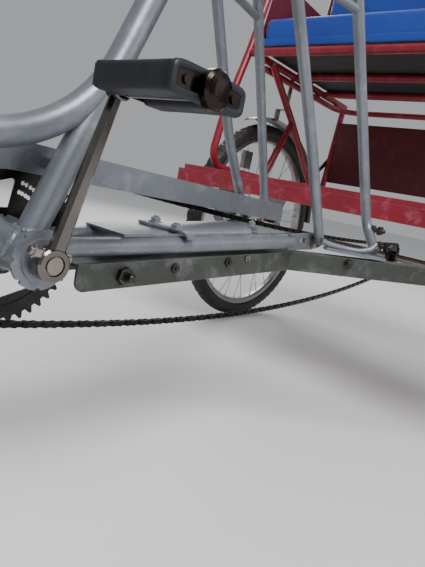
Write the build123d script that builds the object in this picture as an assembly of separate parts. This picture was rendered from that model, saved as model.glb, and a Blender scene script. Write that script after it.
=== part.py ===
from build123d import *
from math import atan2, cos, degrees, hypot, pi, radians, sin, tan
import os

# Passenger tricycle: the front half of a step-through bicycle bolted to a red two-wheeled
# chassis with a bench seat. Millimetres, +X forward, +Y left, +Z up, the origin on the
# ground at the middle of the length and width. Most places are given as (aft, left, up):
# aft of the crank axis, left of the middle plane and up from the ground.

# A seated piece lies this far from what carries it, and a slanted tube end further
SEAT_GAP = 0.3
SLANT_GAP = 1.6

# Wheels
TYRE_RADIUS = 328.0
TYRE_WIDTH = 46.0
RIM_RADIUS = 288.0
RIM_DEPTH = 17.0
RIM_WIDTH = 27.0
SPOKES_PER_WHEEL = 36
SPOKE_DIAMETER = 2.2
SPOKE_CROSSINGS = 3
HUB_RADIUS = 15.0
FLANGE_RADIUS = 27.0
FLANGE_THICKNESS = 3.2
FLANGE_SPACING = 56.0
RUNNING_CLEARANCE = 0.05
FRONT_AXLE_DIAMETER = 10.0
FRONT_HUB_LENGTH = 84.0
REAR_AXLE_DIAMETER = 20.0
REAR_HUB_LENGTH = 76.0
REAR_TRACK = 1088.0
REFLECTOR_RADIUS = 227.0
REFLECTOR_ANGLE = 119.0
REFLECTOR_SIZE = (39.0, 55.0, 14.0)

# Layout of the two halves
FRONT_CENTRE = 640.0
REAR_AXLE_AFT = 1152.0
CRANK_HEIGHT = 317.7

# Bicycle frame
MAIN_TUBE = 28.6
SEAT_TUBE_ANGLE = 67.9
SEAT_TUBE_LENGTH = 532.0
SWAN_LOW_HEIGHT = 419.0
SWAN_REAR_BEND = 170.0
SWAN_FRONT_BEND = 110.0
SWAN_LOW_LENGTH = 181.0
DOWN_TUBE_ANGLE = 32.0
DOWN_TUBE_BEND_AFT = -235.0
DOWN_TUBE_BEND_RADIUS = 200.0
SHELL_RADIUS = 22.0
SHELL_LENGTH = 70.0
SHELL_RING_RADIUS = 29.0
SHELL_RING_LENGTH = 4.0
SHELL_RING_NOTCHES = 8
SHELL_NOTCH_RADIUS = 2.6
SHELL_CUP_RADIUS = 20.5
SHELL_CUP_LENGTH = 2.5
HEAD_ANGLE = 68.0
FORK_RAKE = 60.0
HEAD_TUBE_DIAMETER = 36.0
HEAD_TUBE_BOTTOM = 692.0
HEAD_TUBE_LENGTH = 200.0
HEAD_JOINT_INSET = 30.0
CHAIN_STAY_DIAMETER = 20.0
CHAIN_STAY_SPREAD = 33.0
CHAIN_STAY_RISE = 8.0
DROPOUT_AFT = 457.0
DROPOUT_HALF = 61.0
DROPOUT_HEIGHT = 363.4
DROPOUT_THICKNESS = 6.0
DROPOUT_LENGTH = 58.0
DROPOUT_DEPTH = 27.0
SEAT_STAY_DIAMETER = 15.5
STAY_KNEE = (366.0, 75.5, 500.0)
STAY_SHOULDER = (249.0, 60.0, 700.0)
STAY_KNEE_BEND = 600.0
STAY_SHOULDER_BEND = 260.0
STAY_CROWN_HALF = 52.0
STAY_CROWN_BEND = 38.0
STAY_SHEET_FRONT_AFT = 96.0
STAY_SHEET_REAR_AFT = 392.0
STAY_SHEET_INSET = 4.0

# Steering
STEERER_DIAMETER = 25.4
STEERER_ABOVE_HEAD = 22.0
CROWN_HEIGHT = 664.0
CROWN_DIAMETER = 34.0
CROWN_BAR_RADIUS = 13.0
FORK_END_RADIUS = 17.0
FORK_END_THICKNESS = 8.0
AXLE_COLLAR_RADIUS = 8.0
AXLE_COLLAR_LENGTH = 6.7
AXLE_NUT_RADIUS = 9.0
AXLE_NUT_LENGTH = 7.0
AXLE_NUT_PLACE = 65.5
FRONT_AXLE_HALF = 76.0
BLADE_DIAMETER = 22.0
BLADE_HALF_SPREAD = 54.0
BLADE_BEND_HEIGHT = 420.0
BLADE_BEND_RADIUS = 160.0
BAR_DIAMETER = 22.2
BAR_HALF_WIDTH = 300.0
BAR_RISE = 77.0
BAR_SWEEP = 215.0
BAR_MIDDLE_HALF = 70.0
BAR_SHOULDER_HALF = 150.0
GRIP_DROP = 8.0
GRIP_FALL = 14.0
GRIP_FLARE = 25.0
GRIP_BEND_ROOM = 26.0
GRIP_END = 4.0
STEM_DIAMETER = 22.2
STEM_RISE = 85.6
STEM_REACH = 55.0
STEM_CLAMP_HALF = 22.0
STEM_CLAMP_WALL = 5.0
FENDER_STAY_DIAMETER = 4.0
FENDER_STAY_ANGLES = (24.0, 122.0)
GRIP_DIAMETER = 31.0
GRIP_LENGTH = 122.0

# Drive
CHAIN_PITCH = 12.7
CHAINRING_TEETH = 44
SPROCKET_TEETH = 18
CHAIN_LINE = 44.0
CHAIN_HEIGHT = 8.6
CHAIN_WIDTH = 7.4
CHAIN_SIDE_ROOM = 3.0
CHAIN_LOWER_SAG = 46.0
CHAIN_UPPER_SAG = 20.0
TOOTH_THICKNESS = 2.4
TOOTH_ROOT = 4.0
TOOTH_TIP = 3.0
RING_BAND = (70.0, 82.0)
RING_BAND_RAISE = 0.8
WINDOWS = 4
WINDOW_TURN = -72.0
WINDOW_HALF_ANGLE = 27.0
WINDOW_INNER = 36.0
WINDOW_OUTER = 60.5
WINDOW_CORNER = 4.0
OVAL_RADIUS = 2.4
OVAL_HALF_ANGLE = 2.0
OVAL_ROWS = (54.4, 64.5)
OVAL_STEP = 8.5
GUARD_LUG_RADIUS = 6.0
GUARD_RADIUS = 104.0
GUARD_DEPTH = 30.0
GUARD_REAR = 509.0
GUARD_REAR_TOP = 410.0
GUARD_HALF_WIDTH = 9.0
GUARD_WALL = 1.5
GUARD_END_RADIUS = 16.0
CRANK_LENGTH = 168.0
CRANK_LEAN = 11.8
CRANK_BOSS_RADIUS = 16.5
CRANK_BEVEL = 2.2
COTTER_RADIUS = 4.7
COTTER_OFFSET = 8.5
COTTER_NUT_RADIUS = 7.0
COTTER_NUT_LENGTH = 7.0
CRANK_EYE_RADIUS = 12.0
CRANK_ARM_THICKNESS = 15.0
CRANK_INNER = 47.0
CRANK_OUTSET = 14.0
RIGHT_CRANK_EXTRA = 6.0
SPINDLE_DIAMETER = 16.0
PEDAL_BLOCK_LENGTH = 88.0
PEDAL_BLOCK_WIDTH = 27.0
PEDAL_BLOCK_HEIGHT = 22.0
PEDAL_BLOCK_OFFSET = 27.0
PEDAL_PLATE = 3.0
PEDAL_AXLE_DIAMETER = 9.0
PEDAL_CLEARANCE = 6.0
PEDAL_SLEEVE_RADIUS = 8.5
PEDAL_CAP_RADIUS = 15.0
PEDAL_CAP_LENGTH = 7.0
PEDAL_CAP_CROWN = 5.0
PEDAL_RIVET_RADIUS = 3.5
PEDAL_RIVET_HEIGHT = 1.6

# Irons and stays that tie the bicycle to the chassis
IRON_LEG = 29.0
IRON_THICKNESS = 4.0
IRON_FRONT_AFT = 40.0
IRON_FRONT_HALF = 40.0
IRON_BEND_AFT = 412.0
IRON_BEND_HALF = 57.0
IRON_FRONT_TOP = 314.0
IRON_BEND_TOP = 343.0
IRON_SPLAY = 45.0
IRON_END_TOP = 374.0
IRON_CORNER = 11.0
HOOP_DIAMETER = 16.0
HOOP_ANKLE = (550.0, 105.5, 62.0)
HOOP_FOOT = (521.0, 142.0, 24.0)
HOOP_CROWN = (358.0, 79.0, 745.0)
HOOP_ANKLE_BEND = 30.0
HOOP_CROWN_BEND = 55.0
HOOP_TIE_DIAMETER = 12.0
HOOP_TIE_DROP = 62.0
STAY_CLAMP_WALL = 6.0
STAY_CLAMP_HALF = 14.0
STRAP_WIDTH = 22.0
STRAP_THICKNESS = 5.0
STRAP_LIFT = 12.0
STRAP_OUTER = (528.0, 156.0)
STRAP_INNER = (464.0, 84.0)

# Chassis
CHASSIS_TUBE = 21.3
CHASSIS_HALF = 496.0
BEAM_AFT = 732.0
BEAM_BOTTOM = 420.0
BEAM_HEIGHT = 34.0
BEAM_DEPTH = 34.0
BEAM_HALF = 531.0
BRACKET_WIDTH = 44.0
JOIST_WIDTH = 30.0
FLOOR_THICKNESS = 12.0
FLOOR_REAR_AFT = 1010.0
SEAT_RAIL_HEIGHT = 812.0
SEAT_FRONT_AFT = 891.0
FRONT_BAR_DROP = 8.0
FRONT_BAR_SET = 2.5
UPRIGHT_FOOT_AFT = 812.0
UPRIGHT_KNEE_AFT = 834.0
UPRIGHT_KNEE_SHARE = 0.432
UPRIGHT_FOOT_BEND = 50.0
UPRIGHT_BEND = 300.0
REAR_LEG_TOP_AFT = 1524.0
REAR_LEG_FOOT_AFT = 1492.0
LOOP_DROP = 24.0
LOOP_REAR_AFT = 1490.0
LOOP_BEND = 80.0
LOOP_TUBE = 19.2
LOOP_FRONT_AFT = 981.0
LOOP_SPACERS_AFT = (1290.0, 1440.0)
LOOP_SPACER_LENGTH = 24.0
LOOP_SPACER_WIDTH = 10.0
BRACE_KNEE_AFT = 1151.0
BRACE_KNEE_DROP = 138.0
BRACE_TOP_AFT = 984.0
BRACE_REAR_AFT = 1380.0
BRACE_FRONT_AFT = 1052.0
SEAT_BARS_AFT = (1140.0, 1335.0)
BACK_FOOT_AFT = 1242.0
BACK_TOP_AFT = 1290.0
BACK_HEIGHT = 450.0
BACK_BEND = 70.0
ARM_FRONT_AFT = 938.0
ARM_RISE = 206.0
ARM_FALL = 0.035
ARM_JOINT = 110.0
ARM_BEND = 75.0
SHEET = 3.0
REAR_PANEL_RISE = 50.0
REAR_PANEL_DROP = 62.0
BEARING_HALF = 462.0
BEARING_WIDTH = 30.0
BEARING_RADIUS = 26.0
HANGER_HALF = 95.0
HANGER_FOOT_HALF = 24.0
HANGER_THICKNESS = 8.0
FENDER_RADIUS = 350.0
FENDER_WIDTH = 60.0
FENDER_CROWN = 9.0
FENDER_THICKNESS = 1.6
FENDER_STRIP = 18.0
FENDER_STRIP_THICKNESS = 4.0
FENDER_REAR_TIE = 38.0

# Seats
BOARD_THICKNESS = 12.0
CUSHION_HEIGHT = 68.0
CUSHION_FRONT_AFT = 893.0
CUSHION_DEPTH = 392.0
CUSHION_HALF = 470.0
CUSHION_EDGE = 14.0
CUSHION_LIP = 5.0
SOFT_GAP = 0.4
BOARD_REAR_AFT = 1430.0
BACK_CUSHION_THICKNESS = 62.0
BACK_PANEL_RISE = 42.0
BACK_PANEL_TOP_ROOM = 4.0
BACK_PANEL_EDGE = 12.0
SADDLE_THICKNESS = 46.0
SADDLE_REAR_REACH = 105.0
SADDLE_SPRING_RADIUS = 17.0
SADDLE_SPRING_HALF = 62.0
SADDLE_LENGTH = 262.0
SADDLE_WIDTH = 218.0
SADDLE_HEIGHT = 78.0
SADDLE_RISE = 157.4
SADDLE_NOSE_HALF = 20.0
SADDLE_NECK_HALF = 34.0
SEAT_POST_DIAMETER = 25.0
SEAT_POST_DEPTH = 88.0

# Worked out from the sizes above
CRANK_X = (REAR_LEG_TOP_AFT - FRONT_CENTRE - TYRE_RADIUS) / 2
AXIS_SLOPE = 1 / tan(radians(HEAD_ANGLE))
SEAT_DIRECTION = (cos(radians(SEAT_TUBE_ANGLE)), sin(radians(SEAT_TUBE_ANGLE)))
STEERING_AFT_AT_AXLE = -FRONT_CENTRE + FORK_RAKE / sin(radians(HEAD_ANGLE))
RING_PITCH_RADIUS = CHAIN_PITCH / (2 * sin(pi / CHAINRING_TEETH))
SPROCKET_PITCH_RADIUS = CHAIN_PITCH / (2 * sin(pi / SPROCKET_TEETH))
WHEEL_HALF = REAR_TRACK / 2
BOARD_BOTTOM = BEAM_BOTTOM + BEAM_HEIGHT + SEAT_GAP
LOWER_RAIL_HEIGHT = BOARD_BOTTOM + FLOOR_THICKNESS + SEAT_GAP + CHASSIS_TUBE / 2
CUSHION_BOTTOM = SEAT_RAIL_HEIGHT + CHASSIS_TUBE / 2 + SEAT_GAP + BOARD_THICKNESS + SOFT_GAP
ARM_HEIGHT = SEAT_RAIL_HEIGHT + ARM_RISE
BACK_TOP_HEIGHT = SEAT_RAIL_HEIGHT + BACK_HEIGHT
BACK_PANEL_BOTTOM = CUSHION_BOTTOM + CUSHION_HEIGHT + BACK_PANEL_RISE
BACK_PANEL_TOP = BACK_TOP_HEIGHT - BACK_BEND - BACK_PANEL_TOP_ROOM
BACK_CUSHION_HEIGHT = BACK_PANEL_TOP - BACK_PANEL_BOTTOM - 2 * BACK_PANEL_EDGE
PANEL_HALF = CHASSIS_HALF - CHASSIS_TUBE / 2 - SEAT_GAP
CHAIN_GROOVE = TOOTH_THICKNESS + 2 * SEAT_GAP
HEAD_TUBE_TOP = HEAD_TUBE_BOTTOM + HEAD_TUBE_LENGTH * sin(radians(HEAD_ANGLE))
STEM_TOP_HEIGHT = HEAD_TUBE_TOP + STEERER_ABOVE_HEAD + STEM_RISE
BAR_HEIGHT = STEM_TOP_HEIGHT + BAR_RISE
SEAT_TUBE_TOP = CRANK_HEIGHT + SEAT_TUBE_LENGTH * SEAT_DIRECTION[1]
SADDLE_TOP = SEAT_TUBE_TOP + SADDLE_RISE
STAY_CROWN_HEIGHT = SEAT_TUBE_TOP + STAY_CLAMP_HALF + SEAT_GAP
SIDES = (1, -1)


def at(aft, left, up):
    """Point from its place aft of the crank axis, left of the middle and above ground."""
    return Vector(CRANK_X - aft, left, up)


def steering_aft(up):
    """Place of the steering axis at a height."""
    return STEERING_AFT_AT_AXLE + (up - TYRE_RADIUS) * AXIS_SLOPE


def seat_aft(up):
    """Place of the seat tube's axis at a height."""
    return (up - CRANK_HEIGHT) / tan(radians(SEAT_TUBE_ANGLE))


def rod(start, end, diameter):
    """Straight round bar between two (aft, left, up) places."""
    first, last = at(*start), at(*end)
    axis = last - first
    return extrude(Plane(origin=first, z_dir=axis) * Circle(diameter / 2), axis.length)


def bent_tube(places, radii, diameter):
    """Round tube through (aft, left, up) places with an arc at each corner."""
    path = FilletPolyline(*[at(*place) for place in places], radius=radii)
    return sweep(Plane(origin=path @ 0, z_dir=path % 0) * Circle(diameter / 2), path=path)


def bar_across(aft, up, left_from, left_to, radius):
    """Round bar or disc along Y between two distances left of the middle."""
    middle = at(aft, (left_from + left_to) / 2, up)
    width = abs(left_to - left_from)
    return Pos(middle) * Cylinder(radius, width, rotation=(90, 0, 0))


def block(aft, left, up):
    """Box from three (from, to) pairs."""
    corner, other = at(aft[0], left[0], up[0]), at(aft[1], left[1], up[1])
    size = other - corner
    return Pos((corner + other) / 2) * Box(abs(size.X), abs(size.Y), abs(size.Z))


def both(make):
    """Left and right copies of a piece as one part of separate solids."""
    return Part() + [make(side) for side in SIDES]


def side_plate(outline, left_from, left_to):
    """Plate with its outline as (aft, up) corners, between two distances left."""
    corners = [(CRANK_X - aft, up) for aft, up in outline]
    plane = Plane(origin=(0, left_from, 0), x_dir=(1, 0, 0), z_dir=(0, -1, 0))
    return extrude(plane * make_face(Polyline(*corners, close=True)), left_from - left_to)


def ring_profile(aft, up, corners):
    """Turned ring about an axis along Y: corners are (radius, left) pairs."""
    centre = at(aft, 0, up)
    plane = Plane(origin=centre, x_dir=(0, 0, 1), z_dir=(-1, 0, 0))
    sketch = plane * make_face(Polyline(*corners, close=True))
    return revolve(sketch, Axis(centre, (0, 1, 0)), 360)


# Wheels

def rear_wheel(side, bore):
    """Wire wheel with a square reflector between its spokes."""
    left, angle, (width, height, depth) = side * WHEEL_HALF, radians(REFLECTOR_ANGLE), REFLECTOR_SIZE
    aft, up = REAR_AXLE_AFT + REFLECTOR_RADIUS * cos(angle), TYRE_RADIUS + REFLECTOR_RADIUS * sin(angle)
    plate = block((aft - width / 2, aft + width / 2), (left - depth / 2, left + depth / 2),
                  (up - height / 2, up + height / 2))
    return wire_wheel(REAR_AXLE_AFT, left, bore, REAR_HUB_LENGTH) + plate


def tyre(aft, left):
    """Tyre with a flat-sided section, wider than the rim."""
    inner, outer = RIM_RADIUS + SEAT_GAP, TYRE_RADIUS
    half, seat = TYRE_WIDTH / 2, RIM_WIDTH / 2 - 1.5
    bulge = (inner + outer) / 2
    section = [
        (inner, left - seat), (bulge - 6, left - half), (bulge + 8, left - half),
        (outer - 3, left - half * 0.6), (outer, left - half * 0.25), (outer, left + half * 0.25),
        (outer - 3, left + half * 0.6), (bulge + 8, left + half), (bulge - 6, left + half),
        (inner, left + seat),
    ]
    return ring_profile(aft, TYRE_RADIUS, section)


def spoke_ends(index, left):
    """Hub and rim ends of one spoke, laced over its neighbours to one side or the other."""
    per_flange = SPOKES_PER_WHEEL // 2
    flange = 1 if index % 2 == 0 else -1
    along = index // 2
    lean = 1 if along % 2 == 0 else -1
    rim_angle = 2 * pi * (index + 0.5) / SPOKES_PER_WHEEL
    hub_angle = rim_angle + lean * SPOKE_CROSSINGS * 2 * pi / per_flange
    hub_radius = FLANGE_RADIUS - 3
    rim_radius = RIM_RADIUS - RIM_DEPTH + 1
    hub = (hub_radius, hub_angle, left + flange * FLANGE_SPACING / 2)
    rim = (rim_radius, rim_angle, left + flange * 3)
    return hub, rim


def wire_wheel(aft, left, bore, hub_length):
    """Rim, crossed spokes and hub as one piece."""
    half, floor = RIM_WIDTH / 2, RIM_RADIUS - RIM_DEPTH
    rim = ring_profile(aft, TYRE_RADIUS, [
        (floor, left - half * 0.5), (floor + 6, left - half), (RIM_RADIUS, left - half),
        (RIM_RADIUS, left + half), (floor + 6, left + half), (floor, left + half * 0.5),
    ])
    hub = bar_across(aft, TYRE_RADIUS, left - hub_length / 2, left + hub_length / 2, HUB_RADIUS)
    for flange in SIDES:
        place = left + flange * FLANGE_SPACING / 2
        hub += bar_across(aft, TYRE_RADIUS, place - FLANGE_THICKNESS / 2,
                          place + FLANGE_THICKNESS / 2, FLANGE_RADIUS)
    spokes = []
    for index in range(SPOKES_PER_WHEEL):
        ends = [(aft + radius * cos(angle), place, TYRE_RADIUS + radius * sin(angle))
                for radius, angle, place in spoke_ends(index, left)]
        spokes.append(rod(*ends, SPOKE_DIAMETER))
    wheel = rim.fuse(hub, *spokes)
    return wheel - bar_across(aft, TYRE_RADIUS, left - hub_length, left + hub_length, bore / 2)


# Bicycle frame

def seat_tube_point(up, left=0):
    return (seat_aft(up), left, up)


def swan_tube():
    """Curved top tube that sweeps down from the head and up into the seat tube."""
    corner_aft = seat_aft(SWAN_LOW_HEIGHT)
    top = SEAT_TUBE_TOP
    joint = HEAD_TUBE_TOP - HEAD_JOINT_INSET
    places = [
        seat_tube_point(top), (corner_aft, 0, SWAN_LOW_HEIGHT),
        (corner_aft - SWAN_LOW_LENGTH, 0, SWAN_LOW_HEIGHT), (steering_aft(joint), 0, joint),
    ]
    tube = bent_tube(places, [SWAN_REAR_BEND, SWAN_FRONT_BEND], MAIN_TUBE)
    socket = rod(seat_tube_point(top - SEAT_POST_DEPTH - 2), seat_tube_point(top + 1), SEAT_POST_DIAMETER)
    return tube - head_core() - socket


def head_core():
    """The head tube's outer volume, cut from the tubes that end on it."""
    low, high = HEAD_TUBE_BOTTOM, HEAD_TUBE_TOP
    return rod((steering_aft(low), 0, low), (steering_aft(high), 0, high), HEAD_TUBE_DIAMETER)


def shell_core():
    half = SHELL_LENGTH / 2
    return bar_across(0, CRANK_HEIGHT, -half, half, SHELL_RADIUS)


def down_tube():
    """Lower tube from the crank shell to the head tube, bent upwards halfway."""
    rise = -DOWN_TUBE_BEND_AFT * tan(radians(DOWN_TUBE_ANGLE))
    joint = HEAD_TUBE_BOTTOM + HEAD_JOINT_INSET
    places = [(0, 0, CRANK_HEIGHT), (DOWN_TUBE_BEND_AFT, 0, CRANK_HEIGHT + rise),
              (steering_aft(joint), 0, joint)]
    tube = bent_tube(places, [DOWN_TUBE_BEND_RADIUS], MAIN_TUBE)
    return tube - head_core() - shell_core()


def seat_tube():
    """Short lower seat tube from the crank shell into the underside of the swan tube."""
    meeting = SWAN_LOW_HEIGHT + MAIN_TUBE * 3
    tube = rod((0, 0, CRANK_HEIGHT), seat_tube_point(meeting), MAIN_TUBE)
    return largest(tube - shell_core() - swan_tube() - down_tube())


def largest(shape):
    """The biggest solid of a cut."""
    return max(shape.solids(), key=lambda solid: solid.volume)


def head_tube():
    low, high = HEAD_TUBE_BOTTOM - 5, HEAD_TUBE_TOP + 5
    bore = STEERER_DIAMETER + 2 * RUNNING_CLEARANCE
    inner = rod((steering_aft(low), 0, low), (steering_aft(high), 0, high), bore)
    return head_core() - inner


def crank_shell():
    """Bottom bracket shell, a notched lock ring and a cup at each end, and a bore for the spindle."""
    half = SHELL_LENGTH / 2
    shell = shell_core()
    for side in SIDES:
        inner, outer = side * half, side * (half + SHELL_RING_LENGTH)
        ring = bar_across(0, CRANK_HEIGHT, inner, outer, SHELL_RING_RADIUS)
        for index in range(SHELL_RING_NOTCHES):
            angle = 2 * pi * index / SHELL_RING_NOTCHES
            ring -= bar_across(SHELL_RING_RADIUS * cos(angle), CRANK_HEIGHT + SHELL_RING_RADIUS * sin(angle),
                               inner, outer, SHELL_NOTCH_RADIUS)
        shell += ring + bar_across(0, CRANK_HEIGHT, outer, outer + side * SHELL_CUP_LENGTH,
                                   SHELL_CUP_RADIUS)
    bore = SPINDLE_DIAMETER / 2 + RUNNING_CLEARANCE
    reach = half + SHELL_RING_LENGTH + SHELL_CUP_LENGTH
    return shell - bar_across(0, CRANK_HEIGHT, -reach, reach, bore)


def stay_line(aft):
    """Half spread and height of the chain stay's axis at a place."""
    share = aft / DROPOUT_AFT
    half = CHAIN_STAY_SPREAD + (DROPOUT_HALF - CHAIN_STAY_SPREAD) * share
    base = CRANK_HEIGHT + CHAIN_STAY_RISE
    return half, base + (DROPOUT_HEIGHT - base) * share


def chain_stay(side):
    """Round stay that ends in a flat slotted plate."""
    front, rear = 5.0, DROPOUT_AFT - DROPOUT_LENGTH
    front_half, front_up = stay_line(front)
    rear_half, rear_up = stay_line(rear)
    front_half = front_half - 9
    tube = rod((front, side * front_half, front_up), (rear, side * rear_half, rear_up),
               CHAIN_STAY_DIAMETER)
    plate = dropout_plate(side)
    slot = block((DROPOUT_AFT - 38, DROPOUT_AFT - 24), (0, side * DROPOUT_HALF * 2),
                 (DROPOUT_HEIGHT - 4, DROPOUT_HEIGHT + 4))
    half = SHELL_LENGTH / 2
    clear = half + SHELL_RING_LENGTH + SEAT_GAP
    shell_room = bar_across(0, CRANK_HEIGHT, -clear, clear, SHELL_RADIUS)
    shell_room += bar_across(0, CRANK_HEIGHT, side * (half - SEAT_GAP), side * clear,
                             SHELL_RING_RADIUS + SEAT_GAP)
    return largest(tube + plate - slot - shell_room)


def dropout_plate(side):
    half = DROPOUT_DEPTH / 2
    rear = DROPOUT_AFT
    front = rear - DROPOUT_LENGTH - 12
    outline = [(front, DROPOUT_HEIGHT - half - 3), (rear + 4, DROPOUT_HEIGHT - half),
               (rear + 16, DROPOUT_HEIGHT), (rear + 4, DROPOUT_HEIGHT + half),
               (front, DROPOUT_HEIGHT + half - 7)]
    inner = DROPOUT_HALF - DROPOUT_THICKNESS / 2
    return side_plate(outline, side * inner, side * (inner + DROPOUT_THICKNESS))


def stay_foot():
    """Foot of the left seat stay's axis, outside the dropout plate."""
    outer = DROPOUT_HALF + DROPOUT_THICKNESS / 2
    return DROPOUT_AFT + 3, outer + SEAT_STAY_DIAMETER / 2 + SLANT_GAP + 1, DROPOUT_HEIGHT


def stay_crown_aft():
    """Place of the crown's cross tube behind the seat post."""
    return seat_aft(STAY_CROWN_HEIGHT) + SEAT_POST_DIAMETER / 2 + SEAT_STAY_DIAMETER / 2 + 3


def seat_stays():
    """Two bowed stays from the dropouts, joined by a crown behind the seat post."""
    crown = (stay_crown_aft(), STAY_CROWN_HALF, STAY_CROWN_HEIGHT)
    half = [stay_foot(), STAY_KNEE, STAY_SHOULDER, crown]
    bends = [STAY_KNEE_BEND, STAY_SHOULDER_BEND, STAY_CROWN_BEND]
    places = half + [(aft, -left, up) for aft, left, up in reversed(half)]
    return bent_tube(places, bends + bends[::-1], SEAT_STAY_DIAMETER)


def stay_sheet():
    """Flat sheet that lies on the chain stays and bridges them."""
    edge = STAY_SHEET_INSET
    corners = []
    for aft in (STAY_SHEET_FRONT_AFT, STAY_SHEET_REAR_AFT):
        half, up = stay_line(aft)
        corners.append((aft, half, up + CHAIN_STAY_DIAMETER / 2 + SEAT_GAP))
    (a0, h0, u0), (a1, h1, u1) = corners
    plane = Plane(origin=at(a0, 0, u0), x_dir=at(a1, 0, u1) - at(a0, 0, u0),
                  z_dir=(u1 - u0, 0, a1 - a0))
    length = hypot(a1 - a0, u1 - u0)
    outline = Polyline((0, h0 - edge), (length, h1 - edge), (length, edge - h1), (0, edge - h0),
                       close=True)
    sheet = extrude(plane * make_face(outline), SHEET)
    corridor = CHAIN_LINE - CHAIN_WIDTH / 2 - CHAIN_SIDE_ROOM
    return sheet - block((0, DROPOUT_AFT), (-corridor, -2 * CHAIN_LINE),
                         (CRANK_HEIGHT, DROPOUT_HEIGHT + CHAIN_STAY_DIAMETER * 2))


def iron_side(side):
    """Angle iron under one chain stay that splays out to the chassis beam."""
    run = BEAM_AFT - IRON_BEND_AFT
    end_half = IRON_BEND_HALF + run * tan(radians(IRON_SPLAY))
    points = [(IRON_FRONT_AFT, IRON_FRONT_HALF, IRON_FRONT_TOP),
              (IRON_BEND_AFT, IRON_BEND_HALF, IRON_BEND_TOP), (BEAM_AFT, end_half, IRON_END_TOP)]
    legs = []
    for (a0, h0, u0), (a1, h1, u1) in zip(points, points[1:]):
        for reach, depth in ((IRON_THICKNESS, IRON_LEG), (IRON_LEG, IRON_THICKNESS)):
            legs.append(iron_leg((a0, h0, u0), (a1, h1, u1), reach, depth, side))
    bottom, span = IRON_FRONT_TOP - IRON_LEG, (0, side * CHASSIS_HALF)
    corner = block((IRON_FRONT_AFT - 1, IRON_FRONT_AFT + IRON_CORNER), span, (bottom - 1, bottom + IRON_CORNER))
    corner -= bar_across(IRON_FRONT_AFT + IRON_CORNER, bottom + IRON_CORNER, *span, IRON_CORNER)
    return legs[0].fuse(*legs[1:]) - corner


def iron_leg(start, end, reach, depth, side):
    """One flat leg of an iron: reach is inward, depth is down from the top edge."""
    def section(place):
        aft, half, up = place
        ring = [(half, up), (half - reach, up), (half - reach, up - depth), (half, up - depth)]
        return Wire.make_polygon([at(aft, side * left, height) for left, height in ring], close=True)
    return Solid.make_loft([section(start), section(end)], ruled=True)


def spine_irons():
    return both(iron_side)


def hoop_stays():
    """Inverted U behind the stays: feet on straps on the irons, two ties forward to the stays."""
    (ankle_aft, ankle_half, ankle_rise), (foot_aft, foot_half, foot_rise) = HOOP_ANKLE, HOOP_FOOT
    half = [(foot_aft, foot_half, IRON_BEND_TOP + foot_rise),
            (ankle_aft, ankle_half, IRON_BEND_TOP + ankle_rise), HOOP_CROWN]
    places = half + [(aft, -left, up) for aft, left, up in reversed(half)]
    bends = [HOOP_ANKLE_BEND, HOOP_CROWN_BEND]
    hoop = bent_tube(places, bends + bends[::-1], HOOP_DIAMETER)
    for side in SIDES:
        hoop = hoop + strap(side) + hoop_tie(side)
    return hoop


def hoop_tie(side):
    """Bar from the hoop's shoulder forward to the stay on its side."""
    up = HOOP_CROWN[2] - HOOP_TIE_DROP
    (ankle_aft, ankle_half, ankle_rise), (crown_aft, crown_half, crown_up) = HOOP_ANKLE, HOOP_CROWN
    share = (crown_up - up) / (crown_up - IRON_BEND_TOP - ankle_rise)
    leg_aft, leg_half = crown_aft + (ankle_aft - crown_aft) * share, crown_half + (ankle_half - crown_half) * share
    (knee_aft, knee_half, knee_up), (top_aft, top_half, top_up) = STAY_KNEE, STAY_SHOULDER
    slope, spread = (knee_aft - top_aft) / (top_up - knee_up), (knee_half - top_half) / (top_up - knee_up)
    reach = SEAT_STAY_DIAMETER / 2 * hypot(1, slope) + HOOP_TIE_DIAMETER / 2 * slope + SEAT_GAP
    front = top_aft + slope * (top_up - up) + reach
    return rod((leg_aft, side * leg_half, up), (front, side * (top_half + spread * (top_up - up)), up),
               HOOP_TIE_DIAMETER)


def strap(side):
    """Flat bar under a hoop foot, along the iron's top."""
    low = IRON_BEND_TOP + STRAP_LIFT
    outer, inner = Vector(*STRAP_OUTER), Vector(*STRAP_INNER)
    line = (inner - outer).normalized() * (STRAP_WIDTH / 2)
    across = Vector(-line.Y, line.X)
    ring = [outer + across, outer - across, inner - across, inner + across]
    face = make_face(Polyline(*[(CRANK_X - corner.X, side * corner.Y) for corner in ring], close=True))
    return extrude(Pos(0, 0, low) * face, STRAP_THICKNESS)


def stay_clamp():
    """Collar round the seat post that grips the stays' crown behind it."""
    up, half, wall = STAY_CROWN_HEIGHT, STAY_CLAMP_HALF, STAY_CLAMP_WALL
    collar = rod(seat_tube_point(up - half), seat_tube_point(up + half), SEAT_POST_DIAMETER + 2 * wall)
    reach = SEAT_STAY_DIAMETER / 2 + wall
    collar += block((seat_aft(up), stay_crown_aft() + reach), (-half, half), (up - half, up + half))
    collar -= rod(seat_tube_point(up - 3 * half), seat_tube_point(up + 3 * half), SEAT_POST_DIAMETER)
    return collar - bar_across(stay_crown_aft(), up, -2 * half, 2 * half, SEAT_STAY_DIAMETER / 2)


# Drive

def toothed_plate(teeth, pitch_radius, aft, up, left):
    """Sprocket plate: four corners for each tooth."""
    root, tip = pitch_radius - TOOTH_ROOT, pitch_radius + TOOTH_TIP
    corners = []
    for index in range(teeth):
        start = 2 * pi * index / teeth
        for share, radius in ((0.0, root), (0.3, root), (0.55, tip), (0.75, tip)):
            angle = start + share * 2 * pi / teeth
            corners.append((aft + radius * cos(angle), up + radius * sin(angle)))
    half = TOOTH_THICKNESS / 2
    return side_plate(corners, left - half, left + half)


def ring_place(radius, degrees_up):
    """Place at a radius and an angle about the crank axis, as (aft, up)."""
    angle = radians(degrees_up)
    return radius * cos(angle), CRANK_HEIGHT + radius * sin(angle)


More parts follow.
